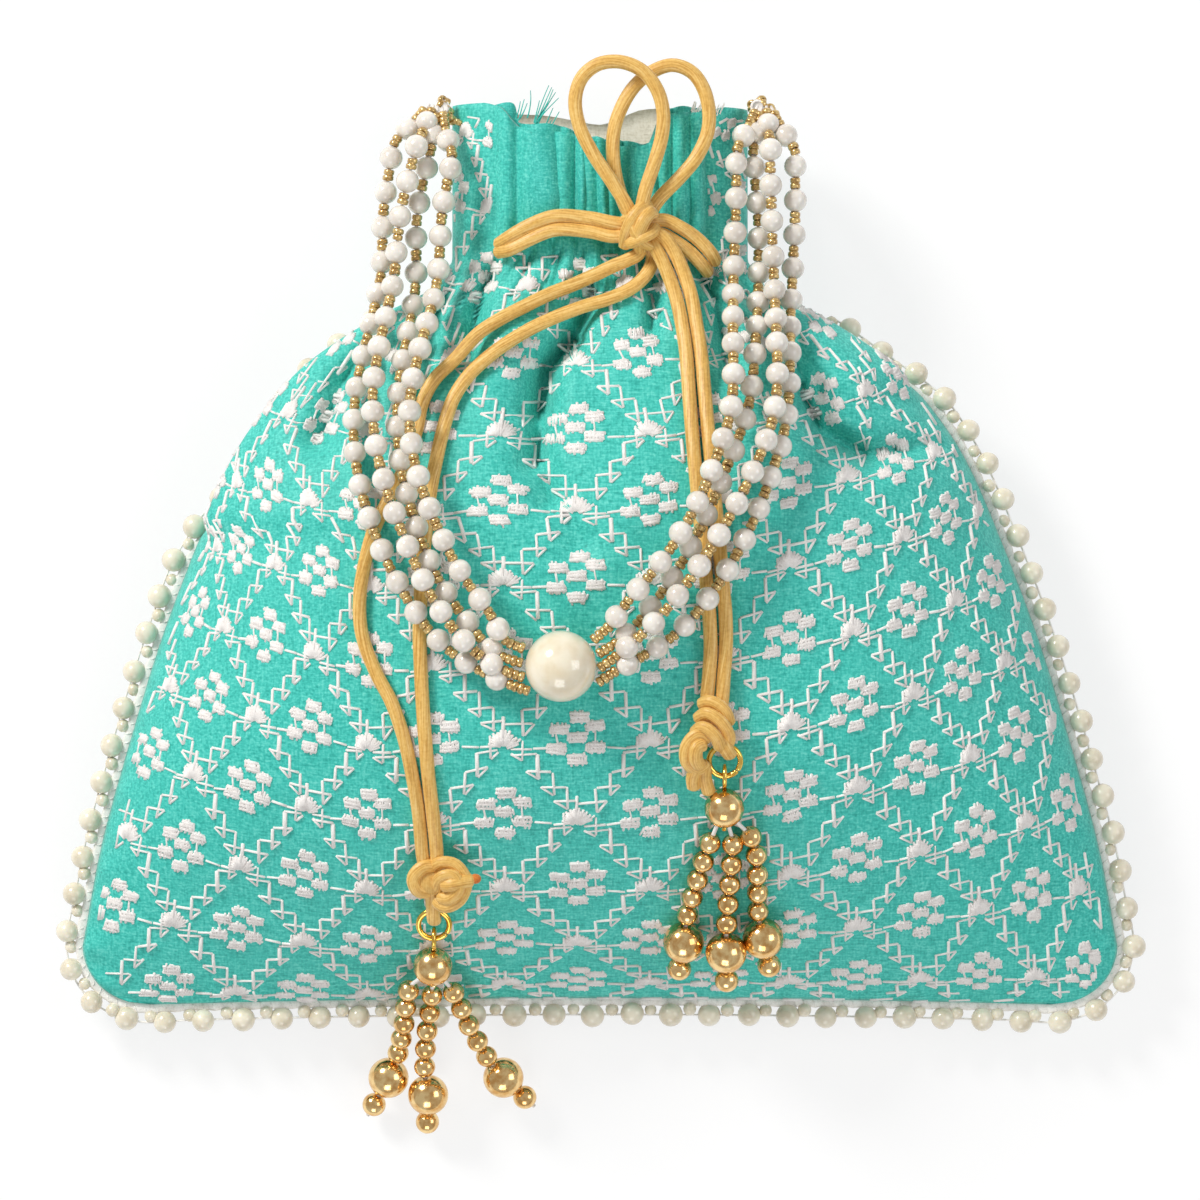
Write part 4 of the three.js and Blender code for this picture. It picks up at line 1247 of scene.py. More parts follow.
    bow_strands: tuple = (
        ((5.2, 65.8, 34.8), (5.5, 68.8, 37.6), (6.9, 71.8, 38.8), (8.8, 74.0, 38.0), (10.4, 74.4, 35.6)),
        ((8.6, 65.0, 35.0), (8.0, 67.9, 38.0), (8.9, 70.9, 39.2), (10.3, 72.8, 38.2), (11.2, 73.0, 35.6)),
        ((4.8, 71.0, 35.6), (6.2, 71.6, 37.4), (6.8, 69.2, 38.0), (8.6, 66.8, 37.6), (10.8, 65.8, 35.8)),
        ((11.4, 70.4, 35.2), (10.5, 68.8, 37.8), (8.4, 67.7, 38.4), (6.2, 66.9, 37.2), (4.9, 67.8, 35.0)),
    )
    end_strands: dict[Side, tuple] = field(default_factory=lambda: {
        Side.LEFT: (
            ((-33.2, -61.6, 38.6), (-36.4, -61.8, 39.8), (-38.4, -64.2, 39.4), (-37.4, -66.8, 38.6),
             (-34.8, -67.2, 37.6)),
            ((-34.6, -63.0, 38.0), (-33.0, -61.0, 40.2), (-29.8, -61.3, 40.6), (-27.6, -64.6, 40.2),
             (-28.8, -68.4, 39.4), (-32.0, -70.0, 38.2), (-34.4, -68.4, 37.0)),
            ((-33.6, -66.8, 38.2), (-32.6, -63.9, 41.0), (-30.1, -63.6, 41.2), (-29.1, -66.0, 40.9),
             (-31.0, -68.2, 39.8), (-33.4, -68.2, 38.2)),
            ((-32.6, -65.6, 40.2), (-30.8, -65.4, 41.4), (-28.4, -64.8, 41.2), (-26.0, -64.3, 40.5)),
        ),
        Side.RIGHT: (
            ((20.2, -28.4, 51.0), (22.4, -27.6, 53.0), (25.2, -29.4, 53.2), (26.4, -32.4, 52.0)),
            ((19.6, -31.4, 51.0), (21.8, -30.0, 53.6), (24.6, -31.8, 54.0), (26.2, -34.8, 52.8),
             (25.2, -37.2, 51.0)),
            ((19.0, -34.2, 51.4), (21.0, -32.8, 54.0), (23.4, -34.6, 54.2), (24.6, -37.4, 52.6)),
            ((22.6, -35.2, 52.6), (19.9, -34.2, 53.4), (17.7, -36.6, 53.0), (17.8, -40.0, 52.0),
             (20.0, -41.4, 51.2), (22.0, -39.8, 51.4)),
            ((21.4, -36.0, 53.2), (19.7, -36.9, 54.2), (19.5, -39.2, 53.6), (20.6, -41.0, 52.4)),
            ((19.6, -40.4, 51.8), (18.9, -43.2, 50.2), (19.2, -45.6, 48.8)),
            ((21.2, -40.0, 51.2), (21.4, -43.4, 49.8), (22.4, -46.6, 48.4)),
        ),
    })
    bow_core: Point = (8.1, 69.7, 35.9)
    bow_core_size: float = 5.6
    bow_stretch: Point = (1.0, 1.4, 0.7)
    end_core_size: float = 6.2
    melted_tip: Point = (-25.6, -64.2, 40.4)
    melted_size: float = 2.1
    eyes: dict[Side, tuple] = field(default_factory=lambda: {
        Side.LEFT: ((-34.9, -64.7, 38.0), (-34.4, -71.2, 33.2)),
        Side.RIGHT: ((22.9, -32.6, 51.6), (25.4, -36.6, 50.8)),
    })

    def tube(self, path: np.ndarray, solid: Solid, thick: float = 1.0) -> None:
        """Adds a stretch of cord with softly rounded ends to a mesh.

        Args:
            path: Its middle line, in millimetres.
            solid: The mesh that it goes to.
            thick: Its thickness over the usual one.
        """
        along = np.concatenate([[0], np.cumsum(np.linalg.norm(np.diff(path, axis=0), axis=1))])
        from_end = np.minimum(along, along[-1] - along) / (0.35 * self.diameter)
        radius = thick * self.spread * self.diameter / 2 * np.sqrt(clamp01(0.35 + from_end))
        solid.add(*tube_patch(path, radius, self.sides, self.flatness))

    def strand(self, name: str, node: str) -> tuple[bpy.types.Object, np.ndarray]:
        """Builds one free cord along its route.

        Args:
            name: Its name in the routes.
            node: The CAD node that it stands for.

        Returns:
            The piece and its middle line.
        """
        route = [*self.starts.get(name, ()), *self.routes[name], *self.ends.get(name, ())]
        count = round(route_length(np.array(route)) / self.step)
        path = smooth_route(route, count)
        solid = Solid()
        self.tube(path, solid)
        made = solid.build(f"satin_{name}", self.finishes.satin)
        return dress(made, Body.BAG, "satin_cord", node), path

    def knot(
        self, name: str, node: str, core: Point, size: float, strands: tuple,
        stretch: Point = (1.15, 1.0, 0.62),
    ) -> bpy.types.Object:
        """Builds a knot from its crossing strands round a packed core.

        Args:
            name: The piece's name.
            node: The CAD node that it stands for.
            core: Middle of the knot.
            size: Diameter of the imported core.
            strands: Route of each strand that shows.
            stretch: Scale of the core along each axis.

        Returns:
            The knot.
        """
        solid = Solid()
        points, quads, caps = ball_patch(np.array(core), size, 20, stretch)
        solid.add(points, quads, caps, points[:, :2])
        for route in strands:
            self.tube(smooth_route(list(route), 26), solid)
        return dress(solid.build(name, self.finishes.satin), Body.BAG, "satin_cord", node)

    def ring_loop(self, side: Side) -> Route:
        """Route of the cord that goes from an end knot round the tassel's ring.

        Args:
            side: Side of the end knot.

        Returns:
            The cord's route.
        """
        core, top = (np.array(place) for place in self.eyes[side])
        away = (top - core) / np.linalg.norm(top - core)
        reach = 0.6 + self.diameter / 2 + 0.35
        across = np.cross(away, [1.0, 0.0, 0.0])
        across /= np.linalg.norm(across)
        turns = [top + reach * (math.cos(a) * away + math.sin(a) * across) for a in np.linspace(-2.2, 2.2, 9)]
        return [tuple(core), *(tuple(p) for p in turns), tuple(core + 0.6 * across)]

    def declare(
        self, path: np.ndarray
    ) -> None:
        """Works out a free cord's middle line in metres, from every second point and the last, and keeps
        nothing of it.

        Args:
            path: Its middle line in millimetres.
        """
        line = [tuple(float(v) * MM for v in point) for point in path[::2]]
        if (len(path) - 1) % 2:
            line.append(tuple(float(v) * MM for v in path[-1]))

    def build(self, tassels: dict[Side, list[bpy.types.Object]]) -> None:
        """Args:
            tassels: The pieces that hang from each end knot.
        """
        made, paths = {}, {}
        for name in self.routes:
            node = name if name.startswith("bow") else f"drawstring_{name}"
            made[name], paths[name] = self.strand(name, node)
        core, size, stretch = self.bow_core, self.bow_core_size, self.bow_stretch
        bow = self.knot("satin_bow_knot", "bow_knot", core, size, self.bow_strands, stretch)
        for side in Side:
            core = self.eyes[side][0]
            strands = (*self.end_strands[side], tuple(self.ring_loop(side)))
            name = f"end_knot_{side.value}"
            self.knot(f"satin_{name}", name, core, self.end_core_size, strands)
        tip = Solid()
        points, quads, caps = ball_patch(np.array(self.melted_tip), self.melted_size, 16, (1.15, 1.0, 0.85))
        tip.add(points, quads, caps, points[:, :2])
        melted = dress(tip.build("melted_cord_tip", self.finishes.melted), Body.BAG, "satin_cord")
        leads = [made[name] for name in made if name.startswith("lead")]
        for name, carried in (("bow_loop_left", [bow, *leads]), ("bow_loop_right", [])):
            self.declare(paths[name])
        for side, first, second in (
            (Side.LEFT, "tail_left_inner", "tail_left_outer"),
            (Side.RIGHT, "tail_right_inner", "tail_right_outer"),
        ):
            near = [piece for piece in tassels[side] if "_drop_" not in piece.name]
            near += [melted] if side is Side.LEFT else []
            self.declare(paths[first])
            self.declare(paths[second])


@dataclass
class Tassel:
    """A gold ring, an eye pin, a head bead and three strings of small beads, each with a ball and a tip."""

    side: Side
    finishes: Finishes
    top: Point
    ring_line: Point
    bead_line: Point
    drops: list[Route]
    ring_diameter: float = 6.4
    ring_wire: float = 1.2
    eye_diameter: float = 4.2
    eye_wire: float = 0.9
    head_bead: float = 8.2
    small_bead: float = 4.6
    small_beads: int = 5
    ball: float = 8.6
    tip: float = 5.0
    thread: float = 1.0
    thread_length: float = 2.6
    clearance: float = 0.3
    bore: float = 1.1

    def body(self) -> Body:
        """The tassel's body."""
        return Body.TASSEL_LEFT if self.side is Side.LEFT else Body.TASSEL_RIGHT

    def beyond(self, point: np.ndarray, line: Point, length: float) -> np.ndarray:
        """The point at a distance along a line."""
        direction = np.array(line, float)
        return point + direction * length / np.linalg.norm(direction)

    def hoop(self, center: np.ndarray, first: np.ndarray, second: np.ndarray, diameter: float, wire: float,
             name: str, node: str) -> bpy.types.Object:
        """Builds a wire ring whose ends meet with a hairline gap.

        Args:
            center: Its middle.
            first: Direction from the middle to the wire's joint.
            second: The other direction in its plane.
            diameter: Its diameter at the wire's middle.
            wire: The wire's diameter.
            name: The piece's name.
            node: The CAD node that it stands for.

        Returns:
            The ring.
        """
        turn = np.linspace(0.03, 2 * math.pi - 0.03, 72)
        ring = np.cos(turn)[:, None] * first + np.sin(turn)[:, None] * second
        path = center + ring * diameter / 2
        radius = np.full(len(path), wire / 2)
        radius[[0, -1]] *= 0.8
        solid = Solid()
        solid.add(*tube_patch(path, radius, 16))
        return dress(solid.build(name, self.finishes.wire), self.body(), "gold_wire", node)

    def pierced(self, center: np.ndarray, heading: np.ndarray, diameter: float, segments: int = 32) -> Solid:
        """A polished bead with a rimmed hole from end to end.

        Args:
            center: Its middle.
            heading: Direction of its hole.
            diameter: Its diameter.
            segments: Points round it.

        Returns:
            Its mesh.
        """
        across = np.cross(heading, [0.0, 0.0, 1.0])
        across /= np.linalg.norm(across)
        over = np.cross(across, heading)
        radius, hole = diameter / 2, self.bore / 2
        first = math.asin(hole / radius)
        polar = np.linspace(first, math.pi - first, segments // 2)
        along = np.concatenate([[0.6 * radius], radius * np.cos(polar), [-0.6 * radius]])
        out = np.concatenate([[hole * 0.85], radius * np.sin(polar), [hole * 0.85]])
        angle = np.linspace(0, 2 * math.pi, segments, endpoint=False)
        ring = across * np.cos(angle)[:, None] + over * np.sin(angle)[:, None]
        points = center + along[:, None, None] * heading + out[:, None, None] * ring
        rows = len(along)
        bottom = (rows - 1) * segments
        k = np.arange(segments)
        following = (k + 1) % segments
        bore = np.stack([k, following, bottom + following, bottom + k], axis=1)
        solid = Solid()
        faces = np.vstack([grid_quads(rows, segments, True)[:, ::-1], bore[:, ::-1]])
        solid.add(points.reshape(-1, 3), faces)
        return solid

    def string(self, number: int, route: Route, head: np.ndarray) -> list[bpy.types.Object]:
        """Builds one string with its ball and tip.

        Args:
            number: Its number from the left.
            route: Points that it hangs through.
            head: Middle of the head bead.

        Returns:
            Its pieces.
        """
        name = f"tassel_{self.side.value}_drop_{number}"
        start = self.beyond(head, tuple(np.array(route[0]) - head), self.head_bead / 2 + self.clearance)
        line = Outline(smooth_route([tuple(start), *route], 240))
        small = Solid()
        first = self.thread_length + self.small_bead / 2
        for i in range(self.small_beads):
            place = first + i * self.small_bead
            bead = self.pierced(line.at(place), line.heading(place), self.small_bead * 0.985, 24)
            small.add(bead.points[0], bead.quads[0])
        end = first + (self.small_beads - 0.5) * self.small_bead
        ball_at = end + self.clearance + self.ball / 2
        tip_at = ball_at + (self.ball + self.tip) / 2 + self.clearance
        thread_end = min(tip_at + self.tip / 2 + 0.5, line.length)
        path = np.array([line.at(d) for d in np.linspace(-0.2, thread_end, 60)])
        thread = Solid()
        thread.add(*tube_patch(path, self.thread * 0.42, 10))
        pieces = [dress(small.build(f"{name}_small_beads", self.finishes.gold), self.body(), "gold_bead",
                        f"{name}_beads")]
        pieces.append(dress(thread.build(f"{name}_thread", self.finishes.floss), self.body(), "thread"))
        for node, place, diameter in (("ball", ball_at, self.ball), ("tip", tip_at, self.tip)):
            bead = self.pierced(line.at(place), line.heading(place), diameter)
            made = bead.build(f"{name}_{node}_bead", self.finishes.gold)
            pieces.append(dress(made, self.body(), "gold_bead", f"{name}_{node}"))
        return pieces

    def build(self) -> list[bpy.types.Object]:
        """Builds the tassel and returns its pieces.

        Returns:
            Its pieces.
        """
        name = f"tassel_{self.side.value}"
        top = np.array(self.top)
        down = np.array(self.ring_line) / np.linalg.norm(self.ring_line)
        sideways = np.array([1.0, 0.0, 0.0])
        foot = self.beyond(top, self.ring_line, self.ring_diameter)
        ring_center = self.beyond(top, self.ring_line, self.ring_diameter / 2)
        tilted = 0.8 * sideways + 0.6 * down
        pieces = [
            self.hoop(ring_center, tilted, np.cross([0.0, down[2], -down[1]], tilted),
                      self.ring_diameter, self.ring_wire, f"{name}_jump_ring", f"{name}_ring"),
            self.hoop(foot, np.array([0.0, -1.0, 0.0]), np.array([0.0, 0.0, 1.0]), self.eye_diameter,
                      self.eye_wire, f"{name}_eye_loop", f"{name}_eye"),
        ]
        reach = (self.eye_diameter + self.eye_wire + self.head_bead) / 2 + self.clearance
        head = self.beyond(foot, self.bead_line, reach)
        heading = -np.array(self.bead_line) / np.linalg.norm(self.bead_line)
        solid = self.pierced(head, heading, self.head_bead, 40)
        pieces.append(dress(solid.build(f"{name}_round_bead", self.finishes.gold), self.body(), "gold_bead",
                            f"{name}_head_bead"))
        pin = Solid()
        stem = np.linspace(self.beyond(foot, self.bead_line, self.eye_diameter / 2),
                           self.beyond(head, self.bead_line, self.head_bead / 2 + 0.8), 8)
        pin.add(*tube_patch(stem, self.eye_wire * 0.48, 12))
        pieces.append(dress(pin.build(f"{name}_pin", self.finishes.wire), self.body(), "gold_wire"))
        for number, route in enumerate(self.drops, 1):
            pieces.extend(self.string(number, route, head))
        return pieces


def left_tassel(finishes: Finishes) -> Tassel:
    """The tassel below the bag's bottom edge.

    Args:
        finishes: Materials of the bag.

    Returns:
        The tassel, ready to build.
    """
    return Tassel(
        Side.LEFT, finishes, (-34.4, -71.2, 33.2), (0, -5.9, -2.5), (-0.4, -6.2, -3.6),
        [
            [(-39.8, -88, 22.4), (-41.3, -96.6, 16), (-43.4, -104.9, 8.6), (-46.8, -112, 5.6),
             (-50.4, -118, 2.8)],
            [(-35.2, -90, 20.4), (-36.4, -98, 15.6), (-37, -106.9, 10.6), (-36.2, -113.8, 7.4),
             (-37.2, -121, 2.6)],
            [(-30.6, -89, 21.4), (-26.8, -97.8, 15.6), (-21.8, -106.4, 9.5), (-16.8, -111.6, 5.6),
             (-11.4, -117, 2.8)],
        ],
    )


def right_tassel(finishes: Finishes) -> Tassel:
    """The tassel that lies on the bag.

    Args:
        finishes: Materials of the bag.

    Returns:
        The tassel, ready to build.
    """
    return Tassel(
        Side.RIGHT, finishes, (25.4, -36.6, 50.8), (0, -6.2, -1.6), (0, -6.6, -2.2),
        [
            [(22.6, -56.6, 42.2), (20.4, -63.4, 38.6), (18, -72.8, 32.4), (17.2, -79.6, 28.6),
             (16, -86.8, 22.8)],
            [(27.2, -56.6, 42.4), (26.8, -64, 39), (26.2, -72.8, 34.8), (26.1, -80, 31.6),
             (26.4, -87.6, 26.6)],
            [(31.4, -56.2, 42.2), (32.4, -63.6, 38.4), (32.8, -72.4, 32.8), (34.4, -79.4, 29),
             (36, -86.4, 24)],
        ],
    )


@dataclass
class PearlHandle:
    """Four strings of pearls and gold seed beads from each side of the neck to one large pearl."""

    shape: BagShape
    finishes: Finishes
    strands: int = 4
    pearl: float = 4.8
    seed: float = 2.3
    seed_length: float = 1.2
    pitch: float = 7.3
    strand_pitch: float = 4.0
    layer: float = 4.0
    center_pearl: float = 14.5
    center: tuple[float, float] = (-7.9, -20.3)
    tilt: float = 0.12
    cord: float = 2.4
    sway: float = 0.7
    near_center: float = 7.3
    first_pearls: tuple = (7.4, 4.6, 6.4, 8.6)
    bunch_reach: float = 1.2
    bunch_drop: float = 1.5
    clearance: float = 0.3
    anchor_drop: float = 2.0
    anchor_height: float = 10.0
    anchor_radius: float = 1.6
    bundles: dict[Side, tuple] = field(default_factory=lambda: {
        Side.LEFT: (
            (5.6, 86.6), (8.4, 73), (9.2, 59), (11.2, 47.5), (12.9, 37), (13, 27.8), (11.3, 17.6), (7.5, 6.3),
            (2.4, -4.5), (-4.1, -13.4), (-10.4, -19),
        ),
        Side.RIGHT: (
            (2.8, 86), (3.2, 73), (3.2, 59), (2.8, 46.5), (2.4, 37), (1.2, 29.5), (-1.6, 21.7), (-6.1, 11.4),
            (-11.8, 1.2), (-18.8, -8.3), (-26, -15.3),
        ),
    })

    def pearl_height(self) -> float:
        """Height of the large pearl's middle."""
        rest = float(self.shape.rest_height(np.float64(self.center[0]), np.float64(self.center[1])))
        return rest + self.center_pearl / 2 + self.clearance

    def anchor_top(self) -> float:
        """Height at which the strings leave the neck's side."""
        return float(self.shape.seam_height(np.float64(self.shape.mouth_y))) + self.anchor_height

    def route(self, side: Side, index: int) -> Outline:
        """Middle line of one string.

        Args:
            side: Its side of the bag.
            index: Its number from the left, from 0.

        Returns:
            The line.
        """
        sign = side.sign
        rank = -sign * (index - (self.strands - 1) / 2)
        closed = self.seed + 2 * self.clearance
        nearest = abs(rank * closed) - self.seed / 2
        away = math.sqrt((self.center_pearl / 2 + self.clearance) ** 2 - nearest**2)
        axis = (math.cos(self.tilt), math.sin(self.tilt))

        def seat(out: float, off: float) -> tuple[float, float]:
            """A place beside the large pearl."""
            x = self.center[0] + sign * (axis[0] * out + axis[1] * off)
            return x, self.center[1] + sign * (axis[1] * out - axis[0] * off)

        end, own = seat(self.center_pearl / 2, 0), seat(away, rank * closed)
        neck = self.shape.neck_half_width
        anchor = (sign * (neck + 2 * self.anchor_radius), self.shape.mouth_y - self.anchor_drop)
        plan = [anchor, *((sign * (neck + out), y) for out, y in self.bundles[side]), end]
        middle = Outline(smooth_route([(x, y, 0.0) for x, y in plan], 1200))
        points = []
        for t in np.linspace(0, 1, 27):
            place = middle.at(t * middle.length)
            heading = middle.heading(t * middle.length, 0.05)
            opened = float(ease(t / 0.08) * ease((1 - t) / 0.07))
            least = 0.9 if t < 0.5 else closed
            spread = mix(least, self.strand_pitch, opened)
            settle = float(ease((t - 0.86) / 0.14))
            x = mix(place[0] - heading[1] * rank * spread, place[0] + own[0] - end[0], settle)
            y = mix(place[1] + heading[0] * rank * spread, place[1] + own[1] - end[1], settle)
            over_cords = (self.cord + self.clearance) * float(ease((t - 0.3) / 0.12))
            stacked = opened * self.layer * (index % 2)
            rest = float(self.shape.rest_height(np.float64(x), np.float64(y), 0.8))
            lying = rest + self.pearl / 2 + self.clearance + over_cords + stacked
            height = mix(self.anchor_top(), lying, float(ease(t / 0.07)))
            loose = opened * self.sway
            x += loose * math.sin(9.1 * t + 2.3 * index + side.sign)
            y += 0.5 * loose * math.sin(7.3 * t + 1.7 * index)
            height += 0.35 * loose * math.sin(11.0 * t + 2.9 * index)
            points.append((x, y, mix(height, self.pearl_height(), float(ease((t - 0.88) / 0.12)))))
        return Outline(smooth_route(points, 900))

    def string(self, side: Side, index: int, draw: np.random.Generator) -> None:
        """Builds one string: its pearls, its seed beads and its thread.

        Args:
            side: Its side of the bag.
            index: Its number from the left, from 0.
            draw: Source of small unevenness.
        """
        line = self.route(side, index)
        first = self.first_pearls[index]
        last = line.length - self.near_center
        count = round((last - first) / self.pitch)
        pearls, seeds = Solid(), Solid()

        def seed_bead(place: float) -> None:
            """Threads a seed bead on, a little askew.

            Args:
                place: Distance along the string.
            """
            heading = line.heading(place) + draw.normal(0, 0.07, 3)
            heading /= np.linalg.norm(heading)
            size = self.seed * draw.uniform(0.9, 1.04)
            seeds.add(*barrel_patch(line.at(place), heading, self.seed_length * 0.98, size, 12))

        places = np.linspace(first, last, count + 1)
        clear = (self.pearl + self.seed_length) / 2
        for place in places:
            turned = tuple(1 + draw.uniform(-0.015, 0.015, 3))
            pearls.add(*ball_patch(line.at(place), self.pearl * draw.uniform(0.98, 1.02), 20, turned))
        for place in (places[:-1] + places[1:]) / 2:
            seed_bead(place - self.seed_length / 2)
            seed_bead(place + self.seed_length / 2)
        toward_tie = np.arange(first - clear, self.bunch_reach, -self.seed_length)
        toward_center = np.arange(last + clear, line.length, self.seed_length)
        for place in (*toward_tie, *toward_center):
            seed_bead(place)
        name = f"{side.value}_{index + 1}"
        thread = Solid()
        path = np.array([line.at(d) for d in np.linspace(0, line.length, 200)])
        thread.add(*tube_patch(path, 0.32, 6))
        node = f"handle_strand_{name}"
        dress(pearls.build(f"handle_pearls_{name}", self.finishes.pearl), Body.HANDLE, "pearl", node)
        dress(seeds.build(f"handle_seeds_{name}", self.finishes.seed), Body.HANDLE, "gold_bead")
        dress(thread.build(f"handle_thread_{name}", self.finishes.floss), Body.HANDLE, "thread")

    def anchor(self, side: Side) -> None:
        """Builds the thread wraps that tie a bundle to the neck's side.

        Args:
            side: Side of the neck.
        """
        foot = float(self.shape.seam_height(np.float64(self.shape.mouth_y))) - 1.0
        head = self.anchor_top() - self.seed / 2 - self.clearance
        x = side.sign * (self.shape.neck_half_width + self.clearance + self.anchor_radius)
        y = self.shape.mouth_y - self.anchor_drop
        turns = 11
        turn = np.linspace(0, turns * 2 * math.pi, turns * 18)
        radius = self.anchor_radius - 0.35
        rise = np.linspace(foot, head, len(turn))
        path = np.stack([x + radius * np.cos(turn), y + radius * np.sin(turn), rise], 1)
        solid = Solid()
        solid.add(*tube_patch(path, 0.34, 8))
        core = np.linspace([x, y, foot - 0.3], [x, y, head + 0.2], 6)
        solid.add(*tube_patch(core, self.anchor_radius - 0.5, 12))
        made = solid.build(f"handle_tie_{side.value}", self.finishes.floss)
        dress(made, Body.BAG, "thread", f"handle_anchor_{side.value}")
        draw = np.random.default_rng(SEED_NUMBER + 5 + side.sign)
        bunch = Solid()
        for _ in range(16):
            place = np.array([x, y - 0.5, head - self.bunch_drop]) + draw.normal(0, (1.6, 1.4, 0.7))
            heading = draw.normal(0, 1, 3)
            heading /= np.linalg.norm(heading)
            bunch.add(*barrel_patch(place, heading, 1.2, 2.1, 12))
        dress(bunch.build(f"handle_bunch_{side.value}", self.finishes.seed), Body.BAG, "gold_bead")

    def build(self) -> None:
        """Builds the whole handle."""
        draw = np.random.default_rng(SEED_NUMBER + 3)
        for side in Side:
            for index in range(self.strands):
                self.string(side, index, draw)
            self.anchor(side)
        solid = Solid()
        center = np.array([*self.center, self.pearl_height()])
        solid.add(*ball_patch(center, self.center_pearl, 64))
        made = solid.build("large_cream_pearl", self.finishes.center_pearl)
        dress(made, Body.HANDLE, "center_pearl", "handle_center_pearl")


@dataclass
class Panels:
    """The embroidered front and back of the bag."""

    shape: BagShape
    finishes: Finishes
    rows: int = 190
    columns: int = 210
    back_rows: int = 110
    back_columns: int = 140
    thickness: float = 1.1
    back_fullness: float = 1.3
    drift: float = 0.55
    ripple: float = 0.22
    pucker: float = 0.45
    pucker_reach: float = 5.0
    stitch_pitch: float = 8.2
    gathers: tuple = (-31, -24.4, -18.8, -13.2, -7.6, -3.2, 2.2, 7.6, 12.6, 17.6, 24, 31)
    gather_height: float = 2.7
    back_dips: tuple = ((-31, 1.2), (-14, 4.6), (-4, 7.2), (4, 6.4), (14, 3.6), (31, 2.2))

    def grid_rows(self, count: int) -> np.ndarray:
        """Heights of the rows, closer together at the bottom.

        Args:
            count: How many rows.

        Returns:
            The rows' heights, from the mouth down.
        """
        s = np.linspace(0, 1, count)
        down = 0.72 * s + 0.28 * np.sin(s * math.pi / 2)
        return mix(self.shape.mouth_y, self.shape.bottom_y, down)

    def grid_shares(self, count: int) -> np.ndarray:
        """Shares of the half width of the columns, closer together at the seams."""
        s = np.linspace(-1, 1, count)
        return 0.6 * s + 0.4 * np.sin(s * math.pi / 2)

    def gather(self, x: np.ndarray, row: np.ndarray) -> np.ndarray:
        """Small puffs where the cloth is gathered into the casing.

        Args:
            x: Place across the bag.
            row: Height on the bag.

        Returns:
            The rise.
        """
        below = (68 - row) / 20
        fade = ease(below / 0.2) * np.exp(-np.maximum(below - 0.2, 0) ** 2 / 0.32)
        spread = 1 + 0.55 * np.maximum(below, 0)
        marks = np.array(self.gathers)
        place = x / spread
        index = np.clip(np.searchsorted(marks, place, side="right"), 1, len(marks) - 1)
        share = clamp01((place - marks[index - 1]) / (marks[index] - marks[index - 1]))
        puff = np.sin(math.pi * share) ** 0.6
        return fade * self.gather_height * (puff - 0.62) * (np.abs(place) < marks[-1])

    def front_points(self, rows: np.ndarray, shares: np.ndarray) -> np.ndarray:
        """Points of the front's outer face.

        Args:
            rows: Height of each row.
            shares: Share of the half width at each column.

        Returns:
            The grid of points.
        """
        shape = self.shape
        row, u = rows[:, None], shares[None, :]
        half = shape.half_width(row)
        x = u * half
        inner = clamp01(4 * (1 - np.abs(u)))
        fall = shape.crease_depth(x, row) * inner
        height = shape.seam_height(row) + shape.clearance / 2 + shape.wall + shape.rise(u, row)
        height = height + shape.pleat(u, row) - fall
        body = ease((66 - row) / 18) * ease((row + 92) / 14) * clamp01(3 * (1 - np.abs(u)))
        slow = Waves(SEED_NUMBER, 64, 22)
        quick = Waves(SEED_NUMBER + 1, 16, 6)
        height = height + self.drift * body * slow.at(x, row) + self.ripple * body * quick.at(x, row)
        height = height + self.gather(x, row) * clamp01(3 * (1 - np.abs(u)))
        from_side = half * (1 - np.abs(u))
        tucks = np.sin(2 * math.pi * row / self.stitch_pitch)
        near = np.exp(-((from_side - 2.2) ** 2) / self.pucker_reach)
        height = height + self.pucker * tucks * near * ease((50 - row) / 20)
        from_bottom = row - shape.bottom_y
        tucks = np.sin(2 * math.pi * x / self.stitch_pitch + 1.0)
        near = np.exp(-((from_bottom - 2.5) ** 2) / self.pucker_reach)
        height = height + self.pucker * tucks * near * inner
        y = shape.row_y(x, row, shape.mouth_dip(x))
        tucked = shape.tuck(u, row)
        full = half * np.minimum(np.abs(u) / 0.95, 1) - tucked * clamp01((np.abs(u) - 0.95) / 0.05) ** 1.4
        x = np.where(tucked > 0.01, np.sign(u) * mix(np.abs(x), full, clamp01(tucked / 3)), x)
        return np.stack(np.broadcast_arrays(x, y, height), axis=-1)

    def back_points(self, rows: np.ndarray, shares: np.ndarray) -> np.ndarray:
        """Points of the back's outer face.

        Args:
            rows: Height of each row.
            shares: Share of the half width at each column.

        Returns:
            The grid of points.
        """
        shape = self.shape
        row, u = rows[:, None], shares[None, :]
        x = u * (shape.half_width(row) - shape.tuck(u, row))
        top = shape.seam_height(row) - shape.clearance / 2
        deepest = top - shape.wall - shape.back_height(row)
        flat = np.minimum(deepest, self.back_fullness * deepest * shape.crown(u, row))
        height = top - shape.wall - flat
        raised = ease((height - 0.2) / 2.5)
        height = height + raised * 0.35 * Waves(SEED_NUMBER + 5, 40, 9).at(x, row)
        y = shape.row_y(x, row, through(self.back_dips, x))
        return np.stack(np.broadcast_arrays(x, y, np.maximum(height, 0.47)), axis=-1)

    def wall_points(self, points: np.ndarray, rows: np.ndarray, step: float) -> np.ndarray:
        """The inner face that lies a wall's thickness from an outer one.

        Args:
            points: The outer face.
            rows: Height of its rows.
            step: How far up the inner face lies, negative for down.

        Returns:
            Points of the inner face.
        """
        thick = abs(step)
        half = self.shape.half_width(rows)[:, None]
        drawn = thick * ease((self.shape.widest_y - rows) / (self.shape.widest_y - self.shape.bottom_y))
        inner = points.copy()
        inner[..., 0] -= thick * points[..., 0] / half
        inner[..., 1] += drawn[:, None]
        inner[..., 2] += step
        return inner

